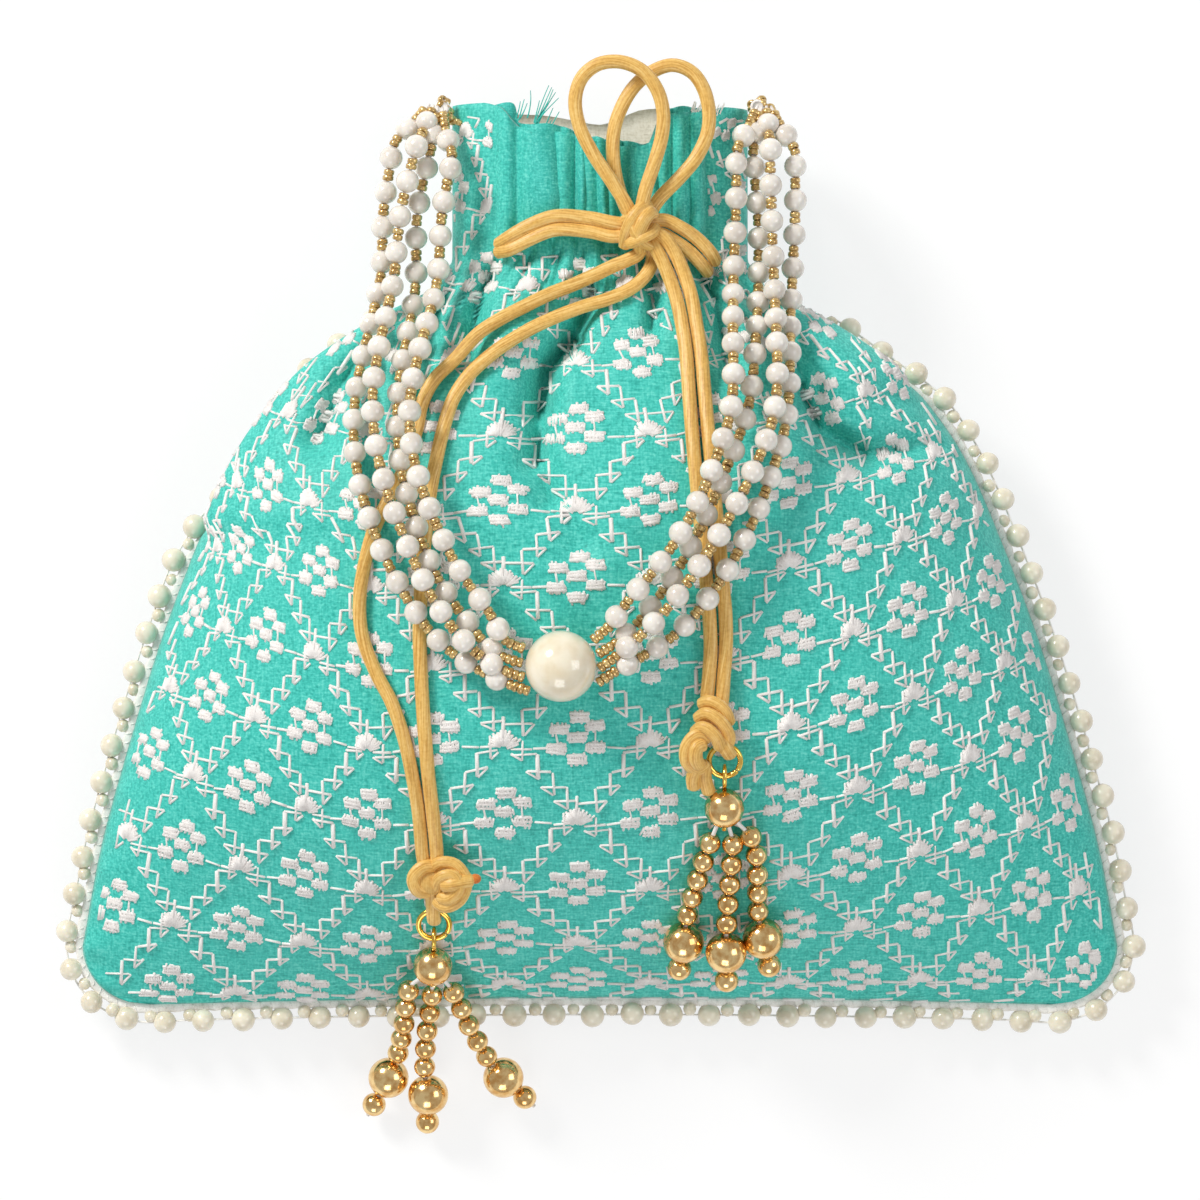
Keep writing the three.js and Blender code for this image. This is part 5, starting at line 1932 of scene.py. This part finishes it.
    def cut_area(self, rows: np.ndarray) -> float:
        """Flat area of one panel's cut, in square metres.

        Args:
            rows: Height of each row.

        Returns:
            The area.
        """
        seam = 6.0
        full = np.interp(rows, [-93, 20, 60, 64, 98], [1.14, 1.2, 1.55, 2.0, 2.0])
        width = 2 * self.shape.half_width(rows) * full + seam
        return float(np.abs(np.trapz(width, rows))) * MM * MM

    def build(self) -> tuple[ClothGrid, ClothGrid]:
        """Builds both panels.

        Returns:
            The front's and the back's outer faces, for what is stitched on them.
        """
        grids = []
        for name, node, count_rows, count_columns, faces in (
            ("cloth_front", "front_panel", self.rows, self.columns, 1),
            ("cloth_back", "back_panel", self.back_rows, self.back_columns, -1),
        ):
            rows, shares = self.grid_rows(count_rows), self.grid_shares(count_columns)
            outer = self.front_points(rows, shares) if faces > 0 else self.back_points(rows, shares)
            inner = self.wall_points(outer, rows, -faces * self.thickness)
            upper, lower = (outer, inner) if faces > 0 else (inner, outer)
            solid = Solid()
            points, quads, coordinates = sheet_patch(upper, lower)
            solid.add(points, quads, None, coordinates)
            made = dress(solid.build(name, self.finishes.silk), Body.BAG, "silk", node)
            area = self.cut_area(rows)
            grids.append(ClothGrid(self.shape, rows, shares, outer, faces))
        return grids[0], grids[1]


@dataclass
class Neck:
    """The gathered casing across the front of the neck, the cream lining in the mouth, and frayed threads."""

    shape: BagShape
    finishes: Finishes
    casing_half_width: float = 22.0
    casing_thickness: float = 0.9
    casing_rows: int = 70
    casing_columns: int = 150
    top_edge: tuple = (
        (-22, 96.2), (-18.6, 96.6), (-17.5, 95.6), (-16.9, 92.4), (-10, 91.9), (-5.6, 90.7), (-4.2, 89.6),
        (-0.6, 89.3), (1.2, 88.7), (3.6, 88.7), (11.2, 88.4), (12.1, 93.2), (16, 95.6), (22, 95.2),
    )
    folds: tuple = (
        (-20.0, 2.4, 1.2), (-12.6, 4.7, 3.7), (-6.7, 1.5, 2.4), (-3.7, 1.5, 3.2), (-0.3, 1.8, 3.5),
        (3.3, 1.7, 2.5), (6.7, 1.8, 3.4), (10.2, 1.6, 3.0), (13.7, 1.8, 1.6), (17.2, 2.0, 2.5),
        (20.6, 1.7, 1.4),
    )
    lining_rows: int = 60
    lining_columns: int = 80
    lining_wall: float = 0.5
    lining_dips: tuple = (
        (-31, 0.6), (-13, 0.8), (-5, 2.1), (0, 2.9), (4, 1.8), (8.5, -0.2), (17, -0.6), (31, 1.0),
    )
    thread_radius: float = 0.17

    def casing_height(self, x: np.ndarray, row: np.ndarray) -> np.ndarray:
        """Rise of the casing's folds, which lean a little as they go down.

        Args:
            x: Place across the bag.
            row: Height on the bag.

        Returns:
            The rise.
        """
        down = (self.shape.mouth_y - row) / 31
        height = np.zeros(np.broadcast(x, row).shape)
        for number, (place, wide, tall) in enumerate(self.folds):
            lean = 1.6 * math.sin(2.1 * number) * down
            off = np.abs(x - place - lean) / wide
            height = np.maximum(height, tall * clamp01(1 - off**2) ** 0.72 * (0.85 + 0.25 * down))
        pinch = np.exp(-((row - 68.5) / 3.2) ** 2)
        return height * (1 - 0.3 * pinch) - 1.9 + 0.5 * np.exp(-((row - 77) / 6) ** 2)

    def casing(self) -> None:
        """Builds the plain gathered casing."""
        shape = self.shape
        x = np.linspace(-self.casing_half_width, self.casing_half_width, self.casing_columns)[None, :]
        top = through(self.top_edge, x)
        s = np.linspace(0, 1, self.casing_rows)[:, None]
        hem = 67.0 + 0.8 * np.sin(x * 1.1)
        y = mix(top, hem, s)
        row = np.clip(y, 60, shape.mouth_y)
        u = x / shape.neck_half_width
        base = shape.seam_height(row) + 1.5 * shape.clearance + shape.wall + shape.rise(u, row)
        tuck = 1.6 * np.exp(-(s / 0.06))
        roll = 2.4 * ease((s - 0.86) / 0.14)
        height = base + self.casing_height(x, row) + 0.25 - 0.3 * tuck - roll
        height = height + 0.16 * Waves(SEED_NUMBER + 9, 9, 3).at(x, row)
        upper = np.stack(np.broadcast_arrays(x, y, height), axis=-1)
        lower = upper - np.array([0.0, 0.0, self.casing_thickness])
        solid = Solid()
        points, quads, coordinates = sheet_patch(upper, lower)
        solid.add(points, quads, None, coordinates)
        made = dress(solid.build("plain_casing", self.finishes.plain), Body.BAG, "plain_cloth", "neck_casing")

    def lining(self) -> None:
        """Builds the cream lining, a bag inside the bag that shows in the mouth."""
        shape = self.shape
        rows = mix(97.2, -86.5, np.linspace(0, 1, self.lining_rows))
        angle = np.linspace(0, 2 * math.pi, self.lining_columns, endpoint=False)
        row, turn = rows[:, None], angle[None, :]
        u = np.cos(turn)
        up = np.sin(turn)
        wide = shape.half_width(row) - 3.4
        rise = shape.rise(u, row)
        fall = shape.crease_depth(u * shape.half_width(row), row) * clamp01(4 * (1 - np.abs(u)))
        front = shape.seam_height(row) + np.maximum(0.7, 0.78 * rise - 1.4 - 1.05 * fall)
        slack = 2.2 * ease((96 - row) / 16) * ease((row - 40) / 20)
        front = front - slack
        deepest = shape.seam_height(row) - shape.wall - shape.back_height(row)
        sunk = np.minimum(deepest - 1.4, deepest * shape.crown(u, row)) - 1.2
        back = shape.seam_height(row) - np.maximum(0.7, sunk)
        folds = 0.9 * np.sin(7 * turn) * ease((row - 62) / 12) * ease((98.2 - row) / 2)
        x = u * (wide - shape.tuck(u, row))
        height = np.where(up >= 0, front, back) + folds * np.where(up >= 0, -0.5, 0.5)
        behind = through(self.lining_dips, x)
        dip = np.where(up >= 0, shape.mouth_dip(x) + 1.2, behind)
        lift = 2.6 * ease(1 - (row - shape.bottom_y) / 40)
        y = shape.row_y(x, row, dip) + lift - 0.6
        outer = np.stack(np.broadcast_arrays(x, y, height), axis=-1)
        center = np.stack([np.zeros_like(rows), rows, shape.seam_height(rows)], axis=-1)[:, None]
        inward = center - outer
        inward[..., 1] = 0
        inward /= np.maximum(np.linalg.norm(inward, axis=-1, keepdims=True), 1e-6)
        inner = outer + inward * self.lining_wall
        count = self.lining_columns
        size = self.lining_rows * count
        sides = grid_quads(self.lining_rows, count, True)
        base = (self.lining_rows - 1) * count
        half = count // 2
        k = np.arange(1, half)
        across = base + (count - k) % count
        ends = np.stack([base + k - 1, base + k, across, base + (count - k + 1) % count], axis=1)
        c = np.arange(count)
        after = (c + 1) % count
        rim = np.stack([c, after, after + size, c + size], axis=1)
        points = np.vstack([outer.reshape(-1, 3), inner.reshape(-1, 3)])
        quads = np.vstack([sides[:, ::-1], sides + size, ends, ends[:, ::-1] + size, rim])
        solid = Solid()
        solid.add(points, quads, None, points[:, :2] * MM)
        made = dress(solid.build("cream_lining", self.finishes.lining), Body.BAG, "lining_cloth", "lining")

    def threads(self) -> None:
        """Adds the loose threads at the mouth's raw edges."""
        draw = np.random.default_rng(SEED_NUMBER + 11)
        for name, material, tufts in (
            ("frayed_silk", self.finishes.frayed, (
                (-13.4, 91.6, 29.6, 8.0, 7), (-17.2, 93.0, 29.4, 5.4, 4), (-10.4, 91.0, 30.0, 4.0, 3),
            )),
            ("frayed_lining", self.finishes.lace, ((19.6, 94.2, 28.2, 2.6, 10), (24.0, 94.4, 27.0, 2.2, 7))),
        ):
            solid = Solid()
            for x, y, z, long, count in tufts:
                for _ in range(count):
                    start = np.array([x, y, z]) + draw.normal(0, (0.7, 0.3, 0.3))
                    lean = draw.normal(0.42, 0.14)
                    length = long * draw.uniform(0.5, 1.1)
                    s = np.linspace(0, 1, 7)[:, None]
                    bend = draw.normal(0, 0.1)
                    straight = s * length * np.array([lean, 1.0, 0.12])
                    path = start + straight + s**2 * length * np.array([bend, 0, -0.1])
                    path[:, 1] = np.minimum(path[:, 1], 103.0)
                    solid.add(*tube_patch(path, self.thread_radius * (1 - 0.5 * s[:, 0]), 5))
            dress(solid.build(name, material), Body.BAG, "thread")

    def build(self) -> None:
        """Builds the neck."""
        self.casing()
        self.lining()
        self.threads()


@dataclass
class Edging:
    """The white tape in the seam and the pearls sewn along it."""

    shape: BagShape
    finishes: Finishes
    start: float = 14.0
    pearl: float = 5.0
    small_pearl: float = 2.8
    pitch: float = 8.2
    tape_width: float = 2.3
    tape_height: float = 1.2
    tape_wave: float = 0.1
    flank: tuple = (0, 0.06, 0.13, 0.19, 0.25, 0.32, 0.39, 0.45, 0.58, 0.71, 0.83, 0.92)
    corner: tuple = (0, 0.43, 0.78)
    bottom: tuple = (1.03, 0.905, 0.63, 0.316)

    def seam(self, offset: float) -> Outline:
        """The seam round both flanks and the bottom, set out from the cloth by a distance.

        Args:
            offset: Distance out from the cloth.

        Returns:
            The seam's line.
        """
        shape = self.shape
        top = shape.shoulder_y - self.start
        heights = [mix(top, shape.widest_y, s) for s in self.flank]
        heights += [mix(shape.widest_y, shape.bottom_y, s) for s in self.corner]

        def edge(sign: int, y: float) -> float:
            """How far out the seam lies on one side."""
            return float(shape.half_width(np.float64(y)) - shape.tuck(np.float64(sign), np.float64(y)))

        def half(sign: int) -> Route:
            """The seam of one side, from the shoulder down.

            Args:
                sign: Minus one on the left and one on the right.

            Returns:
                The route.
            """
            route = []
            for y in heights:
                slope = (edge(sign, y - 0.2) - edge(sign, y + 0.2)) / 0.4
                scale = offset / math.hypot(1, slope)
                height = float(shape.seam_height(np.float64(y)))
                route.append((sign * (edge(sign, y) + scale), y + slope * scale, height))
            for share in self.bottom:
                x = share * float(shape.half_width(np.float64(shape.bottom_y)))
                y = float(shape.row_y(np.float64(x), np.float64(shape.bottom_y))) - offset
                route.append((sign * x, y, float(shape.seam_height(np.float64(shape.bottom_y)))))
            return route

        right, left = half(1), half(-1)[::-1]
        middle_y = float(shape.row_y(np.float64(0), np.float64(shape.bottom_y))) - offset
        middle = (0.0, middle_y, float(shape.seam_height(np.float64(shape.bottom_y))))
        return Outline(smooth_route([*right, middle, *left], 2400))

    def tape(self) -> None:
        """Builds the tape, whose edges wave between the stitches."""
        line = self.seam(0.5)
        count = round(line.length / 0.75)
        draw = np.random.default_rng(SEED_NUMBER + 21)
        places = np.linspace(0, line.length, count)
        path = np.array([line.at(d) for d in places])
        wave = np.sin(2 * math.pi * places / 2.7) * self.tape_wave
        across, over = frames_along(path)
        corners = np.array([
            (-1, -0.7), (-0.55, -1), (0.55, -1), (1, -0.7), (1, 0.7), (0.55, 1), (-0.55, 1), (-1, 0.7),
        ])
        wide = (self.tape_width / 2 + wave)[:, None, None]
        tall = (self.tape_height / 2 + draw.normal(0, 0.05, count))[:, None, None]
        sideways = across[:, None] * corners[None, :, :1] * wide
        points = path[:, None] + sideways + over[:, None] * corners[None, :, 1:] * tall
        rows, sides = points.shape[:2]
        solid = Solid()
        caps = np.array([[0, k, k + 1] for k in range(1, sides - 1)])
        last = (rows - 1) * sides
        caps = np.vstack([caps, caps[:, ::-1] + last])
        coordinates = np.stack(np.broadcast_arrays(corners[None, :, 0], places[:, None]), -1).reshape(-1, 2)
        solid.add(points.reshape(-1, 3), grid_quads(rows, sides, True)[:, ::-1], caps, coordinates)
        for d in np.arange(1.0, line.length - 1, 2.05):
            here, heading = line.at(d), line.heading(d)
            out = np.cross(heading, [0.0, 0.0, 1.0])
            reach = draw.uniform(0.8, 1.3)
            start = here - out * reach - heading * 0.5 + np.array([0, 0, 0.3])
            end = here + out * reach * 0.7 + heading * 0.5 + np.array([0, 0, 0.1])
            arch = [start, here + np.array([0, 0, 0.7]), end]
            solid.add(*tube_patch(smooth_route([tuple(p) for p in arch], 8), 0.14, 5))
        dress(solid.build("white_edge_tape", self.finishes.lace), Body.BAG, "lace", "edge_tape")

    def pearls(self) -> None:
        """Sews on a large pearl and a small one in turn."""
        line = self.seam(1.1 + self.pearl / 2)
        inner = self.seam(1.0 + self.small_pearl / 2)
        count = math.floor(line.length / self.pitch)
        pitch = line.length / count
        draw = np.random.default_rng(SEED_NUMBER + 22)
        pearls, thread = Solid(), Solid()
        for i in range(count):
            at = (i + 0.66) * pitch
            center = line.at(at) + draw.normal(0, (0.12, 0.12, 0.25))
            turned = tuple(1 + draw.uniform(-0.03, 0.03, 3))
            pearls.add(*ball_patch(center, self.pearl * draw.uniform(0.96, 1.03), 20, turned))
            share = (i + 0.17) * pitch / line.length
            small = inner.at(share * inner.length) + draw.normal(0, (0.15, 0.15, 0.25))
            pearls.add(*ball_patch(small, self.small_pearl * draw.uniform(0.92, 1.06), 14))
        path = np.array([line.at(d) for d in np.linspace(0.5, line.length - 0.5, 700)])
        thread.add(*tube_patch(path, 0.22, 5))
        dress(pearls.build("edge_pearl_row", self.finishes.edge_pearl), Body.BAG, "edge_pearl", "edge_pearls")
        dress(thread.build("edge_pearl_thread", self.finishes.lace), Body.BAG, "thread")

    def build(self) -> None:
        """Builds the edging."""
        self.tape()
        self.pearls()


@dataclass
class Embroidery:
    """The white trellis: stars at the crossings, steps between them, and clusters of tufts in the panes.

    Strokes are drawn in units of a pane's pitch, then laid on the cloth along the bent lattice.
    """

    finishes: Finishes
    unit: float = 1 / 513
    thin: float = 0.72
    thick: float = 0.84
    first: float = 1.1
    tuft: float = 0.7
    star_drop: float = 78.0
    loft: float = 0.4
    lattice_x: float = -4.75
    lattice_reach: float = 111.5
    lattice_turn: float = 0.135
    section: float = 2.6
    least_spread: float = 0.8
    highest: float = 95.5
    widest_share: float = 0.98
    left_splay: float = 0.18
    right_splay: float = 0.09
    left_shift: float = 2.2
    rises: tuple = ((-3, -1.5), (-2, 1.2), (-1, 8.6), (0, 12.8), (1, 16), (2, 17))
    levels: tuple = (
        (-4, -98.6), (-3, -93.0), (-2, -86.6), (-1, -77.4), (0, -65.5), (1, -50.7), (2, -35.0), (3, -18.5),
        (4, -2.0), (12, 119.6),
    )
    left_fall: tuple = ((-3, 2.6), (-2, 3.0), (-1, 3.5), (0, 3.5), (1, 4.0), (2, 4.4), (3, 4.6), (4, 5.0))
    steps: tuple = (
        ((236, -32), (242, -208), (155, -151), (338, -149)),
        ((338, -149), (350, -310), (258, -254), (446, -250)),
        ((446, -250), (452, -408), (352, -352), (508, -346)),
        ((-190, -30), (-180, -194), (-110, -132), (-275, -155)),
        ((-275, -155), (-277, -312), (-208, -244), (-382, -261)),
        ((-382, -261), (-370, -432), (-299, -352), (-508, -361)),
    )

    def place(self, i: np.ndarray, j: np.ndarray, mirror: bool) -> tuple[np.ndarray, np.ndarray]:
        """Plan place of a point of the lattice.

        Args:
            i: Panes to the right of the middle.
            j: Panes up from the bottom.
            mirror: Whether the lattice is the back's.

        Returns:
            x and y in millimetres.
        """
        held = np.clip(i, -11, 11)
        off = self.lattice_reach * np.sin(self.lattice_turn * held)
        y = np.where(j < 4, through(self.levels, np.minimum(j, 4.0)), -2.0 + 15.2 * (j - 4))
        below = np.clip(-(y + 47.8) / 40.9, -1.45, 1.3)
        splay = np.where(held < 0, self.left_splay, self.right_splay)
        off = off * (1 + splay * (held / 8) ** 2 * below)
        rise = np.interp(j, *zip(*self.rises))
        y = y + rise * (off / 90) ** 2
        fallen = np.where(off < 0, ease((-off - 12) / 36), 0.0)
        y = y - fallen * through(self.left_fall, j) * ease((9 - j) / 5)
        off = off + self.left_shift * np.where(off < 0, ease((-off - 30) / 36), 0.0)
        narrow = 1 - 0.35 * ease((y - 20) / 45) - 0.1 * ease((y - 66) / 30)
        x = self.lattice_x + off * narrow
        return (-x if mirror else x), y

    def star(self) -> list[tuple]:
        """Strokes of a star with the steps that leave it, as (both ends, width).

        Returns:
            Pairs of a stroke's ends and its width.
        """
        thin, thick = self.thin, self.thick
        strokes = [(((0, 205), (0, 60)), self.first * 0.9)]
        for k, angle in enumerate(np.radians(np.linspace(8, 172, 19))):
            reach = 118 - 14 * (k % 2)
            foot = (20 * math.cos(angle), 10 * math.sin(angle))
            tip = (0.92 * reach * math.cos(angle), reach * math.sin(angle) ** 0.7)
            strokes.append(((foot, tip), thin * 1.15))
        for path in (
            ((-92, 84), (-90, -74), (-30, -24)), ((-38, -14), (-192, -30)), ((-38, 6), (-170, 4), (-300, 13)),
            ((134, 52), (134, -84), (46, -36)), ((38, 2), (128, 62)), ((46, -8), (205, -4), (346, 9)),
            ((58, -44), (236, -32)),
        ):
            strokes.extend((pair, thin) for pair in zip(path[:-1], path[1:]))
        for number, (corner, foot, far, following) in enumerate(self.steps):
            upright = thick if number % 3 else self.first
            strokes += [((corner, foot), upright), ((following, far), thin), ((far, foot), thin)]
        drop = self.star_drop
        return [(tuple((x, y - drop) for x, y in path), wide) for path, wide in strokes]

    def cluster(self, draw: np.random.Generator) -> list[tuple]:
        """Strokes of a cluster of seven tufts.

        Args:
            draw: Source of small unevenness.

        Returns:
            Pairs of a stroke's ends and its width.
        """
        strokes = [(((-148, 24), (-126, -54)), self.thin * 0.8), (((126, 50), (134, -44)), self.thin * 0.8)]
        offsets = ((20, 132), (-122, 54), (132, 74), (0, 0), (-140, -76), (130, -62), (6, -142))
        for cx, cy in offsets:
            for k in range(9):
                at = cx - 60 + 15 * k + draw.normal(0, 2)
                low, high = draw.uniform(24, 50, 2) * (0.62 if k in (0, 8) else 1.0)
                lean = draw.normal(0, 5)
                strokes.append((((at - lean, cy - low), (at + lean, cy + high)), self.tuft))
            for level in (-22, 0, 22):
                reach = draw.uniform(56, 80, 2)
                ends = ((cx - reach[0], cy + level), (cx + reach[1], cy + level + draw.normal(0, 4)))
                strokes.append((ends, self.tuft * 1.4))
        return strokes

    def strokes(self, draw: np.random.Generator) -> tuple[list, list]:
        """Every stroke of the lattice.

        Args:
            draw: Source of small unevenness.

        Returns:
            Strokes of the trellis and strokes of the clusters, in panes.
        """
        trellis, clusters = [], []
        star = self.star()
        for j in range(-3, 13):
            for i in range(-12, 13):
                lines, kept = (self.cluster(draw), clusters) if (i + j) % 2 == 0 else (star, trellis)
                for path, wide in lines:
                    moved = []
                    for x, y in path:
                        shake = draw.normal(0, 3.2, 2)
                        moved.append((i + (x + shake[0]) * self.unit, j + (y + shake[1]) * self.unit))
                    kept.append((moved, wide))
        return trellis, clusters

    def stitched(self, strokes: list, cloth: ClothGrid, mirror: bool, draw: np.random.Generator) -> Solid:
        """Lays strokes on a cloth as raised threads with pointed ends.

        Args:
            strokes: Paths in panes with their half thickness.
            cloth: The cloth.
            mirror: Whether the cloth is the back.
            draw: Source of small unevenness.

        Returns:
            The threads.
        """
        ends = np.array([path for path, _ in strokes])
        wide = np.array([half for _, half in strokes]) / 2 * draw.uniform(0.85, 1.15, len(strokes))
        x, y = self.place(ends[..., 0], ends[..., 1], mirror)
        outward = np.where(ends[..., 0] < 0, -1.0, 1.0)
        beyond, _ = self.place(ends[..., 0] + 0.1 * outward, ends[..., 1], mirror)
        spread = 10 * (beyond - x) * outward * (-1 if mirror else 1)
        low = cloth.shape.bottom_y + 0.9
        kept = (y < self.highest) & (y > low) & (spread > self.least_spread)
        kept &= np.abs(x) < self.widest_share * cloth.shape.half_width(y)
        kept = (kept & (mirror | (y < 66) | (np.abs(x) > 22.4))).all(axis=1)
        span = np.hypot(x[:, 1] - x[:, 0], y[:, 1] - y[:, 0])
        sections = np.maximum(2, np.round(span / self.section).astype(int) + 1)
        solid = Solid()
        for n in np.unique(sections[kept]):
            chosen = kept & (sections == n)
            self.lay(solid, ends[chosen], wide[chosen], int(n), cloth, mirror)
        return solid

    def lay(
        self, solid: Solid, ends: np.ndarray, wide: np.ndarray, n: int, cloth: ClothGrid, mirror: bool
    ) -> None:
        """Adds every stroke that has the same number of sections.

        Args:
            solid: The mesh that they go to.
            ends: Both ends of each stroke, in panes.
            wide: Half the width of each.
            n: Sections of each.
            cloth: The cloth.
            mirror: Whether the cloth is the back.
        """
        s = np.concatenate([[0], np.linspace(0.04, 0.96, n), [1]])[None, :]
        i = mix(ends[:, :1, 0], ends[:, 1:, 0], s)
        j = mix(ends[:, :1, 1], ends[:, 1:, 1], s)
        points, normals = cloth.sample(*self.place(i, j, mirror))
        side = np.cross(np.gradient(points, axis=1), normals)
        side /= np.maximum(np.linalg.norm(side, axis=2, keepdims=True), 1e-9)
        half = wide[:, None, None]
        core, up, off = points[:, 1:-1], normals[:, 1:-1], side[:, 1:-1] * half
        sunk, crest = up * 0.12, core + up * self.loft * (0.7 + half)
        ring = np.stack([core - off - sunk, crest, core + off - sunk], axis=2)
        tips = points[:, [0, -1]] - normals[:, [0, -1]] * 0.05
        count = len(ends)
        stroke = np.concatenate([ring.reshape(count, -1, 3), tips], axis=1)
        c = np.arange(3)
        after = (c + 1) % 3
        k = 3 * np.arange(n - 1)[:, None]
        quads = np.stack(np.broadcast_arrays(k + c, k + after, k + 3 + after, k + 3 + c), -1).reshape(-1, 4)
        last = 3 * (n - 1)
        tips_faces = np.vstack([
            np.stack([np.full(3, 3 * n), after, c], axis=1),
            np.stack([np.full(3, 3 * n + 1), last + c, last + after], axis=1),
        ])
        first = (np.arange(count) * (3 * n + 2))[:, None, None]
        solid.add(stroke.reshape(-1, 3), (quads + first).reshape(-1, 4), (tips_faces + first).reshape(-1, 3))

    def build(self, front: ClothGrid, back: ClothGrid) -> None:
        """Embroiders both panels.

        Args:
            front: The front's outer face.
            back: The back's outer face.
        """
        for name, cloth, mirror in (("front", front, False), ("back", back, True)):
            draw = np.random.default_rng(SEED_NUMBER + 31 + mirror)
            trellis, clusters = self.strokes(draw)
            for kind, strokes in (("trellis", trellis), ("clusters", clusters)):
                solid = self.stitched(strokes, cloth, mirror, draw)
                made = solid.build(f"embroidered_{kind}_{name}", self.finishes.floss)
                dress(made, Body.BAG, "thread")


def main() -> None:
    """Builds the bag piece by piece."""
    logging.basicConfig(level=logging.INFO, format="%(asctime)s %(name)s %(message)s")
    shape = BagShape()
    Studio().build()
    finishes = Finishes()
    tassels = {Side.LEFT: left_tassel(finishes).build(), Side.RIGHT: right_tassel(finishes).build()}
    Drawstrings(finishes).build(tassels)
    front, back = Panels(shape, finishes).build()
    Neck(shape, finishes).build()
    Edging(shape, finishes).build()
    PearlHandle(shape, finishes).build()
    Embroidery(finishes).build(front, back)


if __name__ == "__main__":
    main()
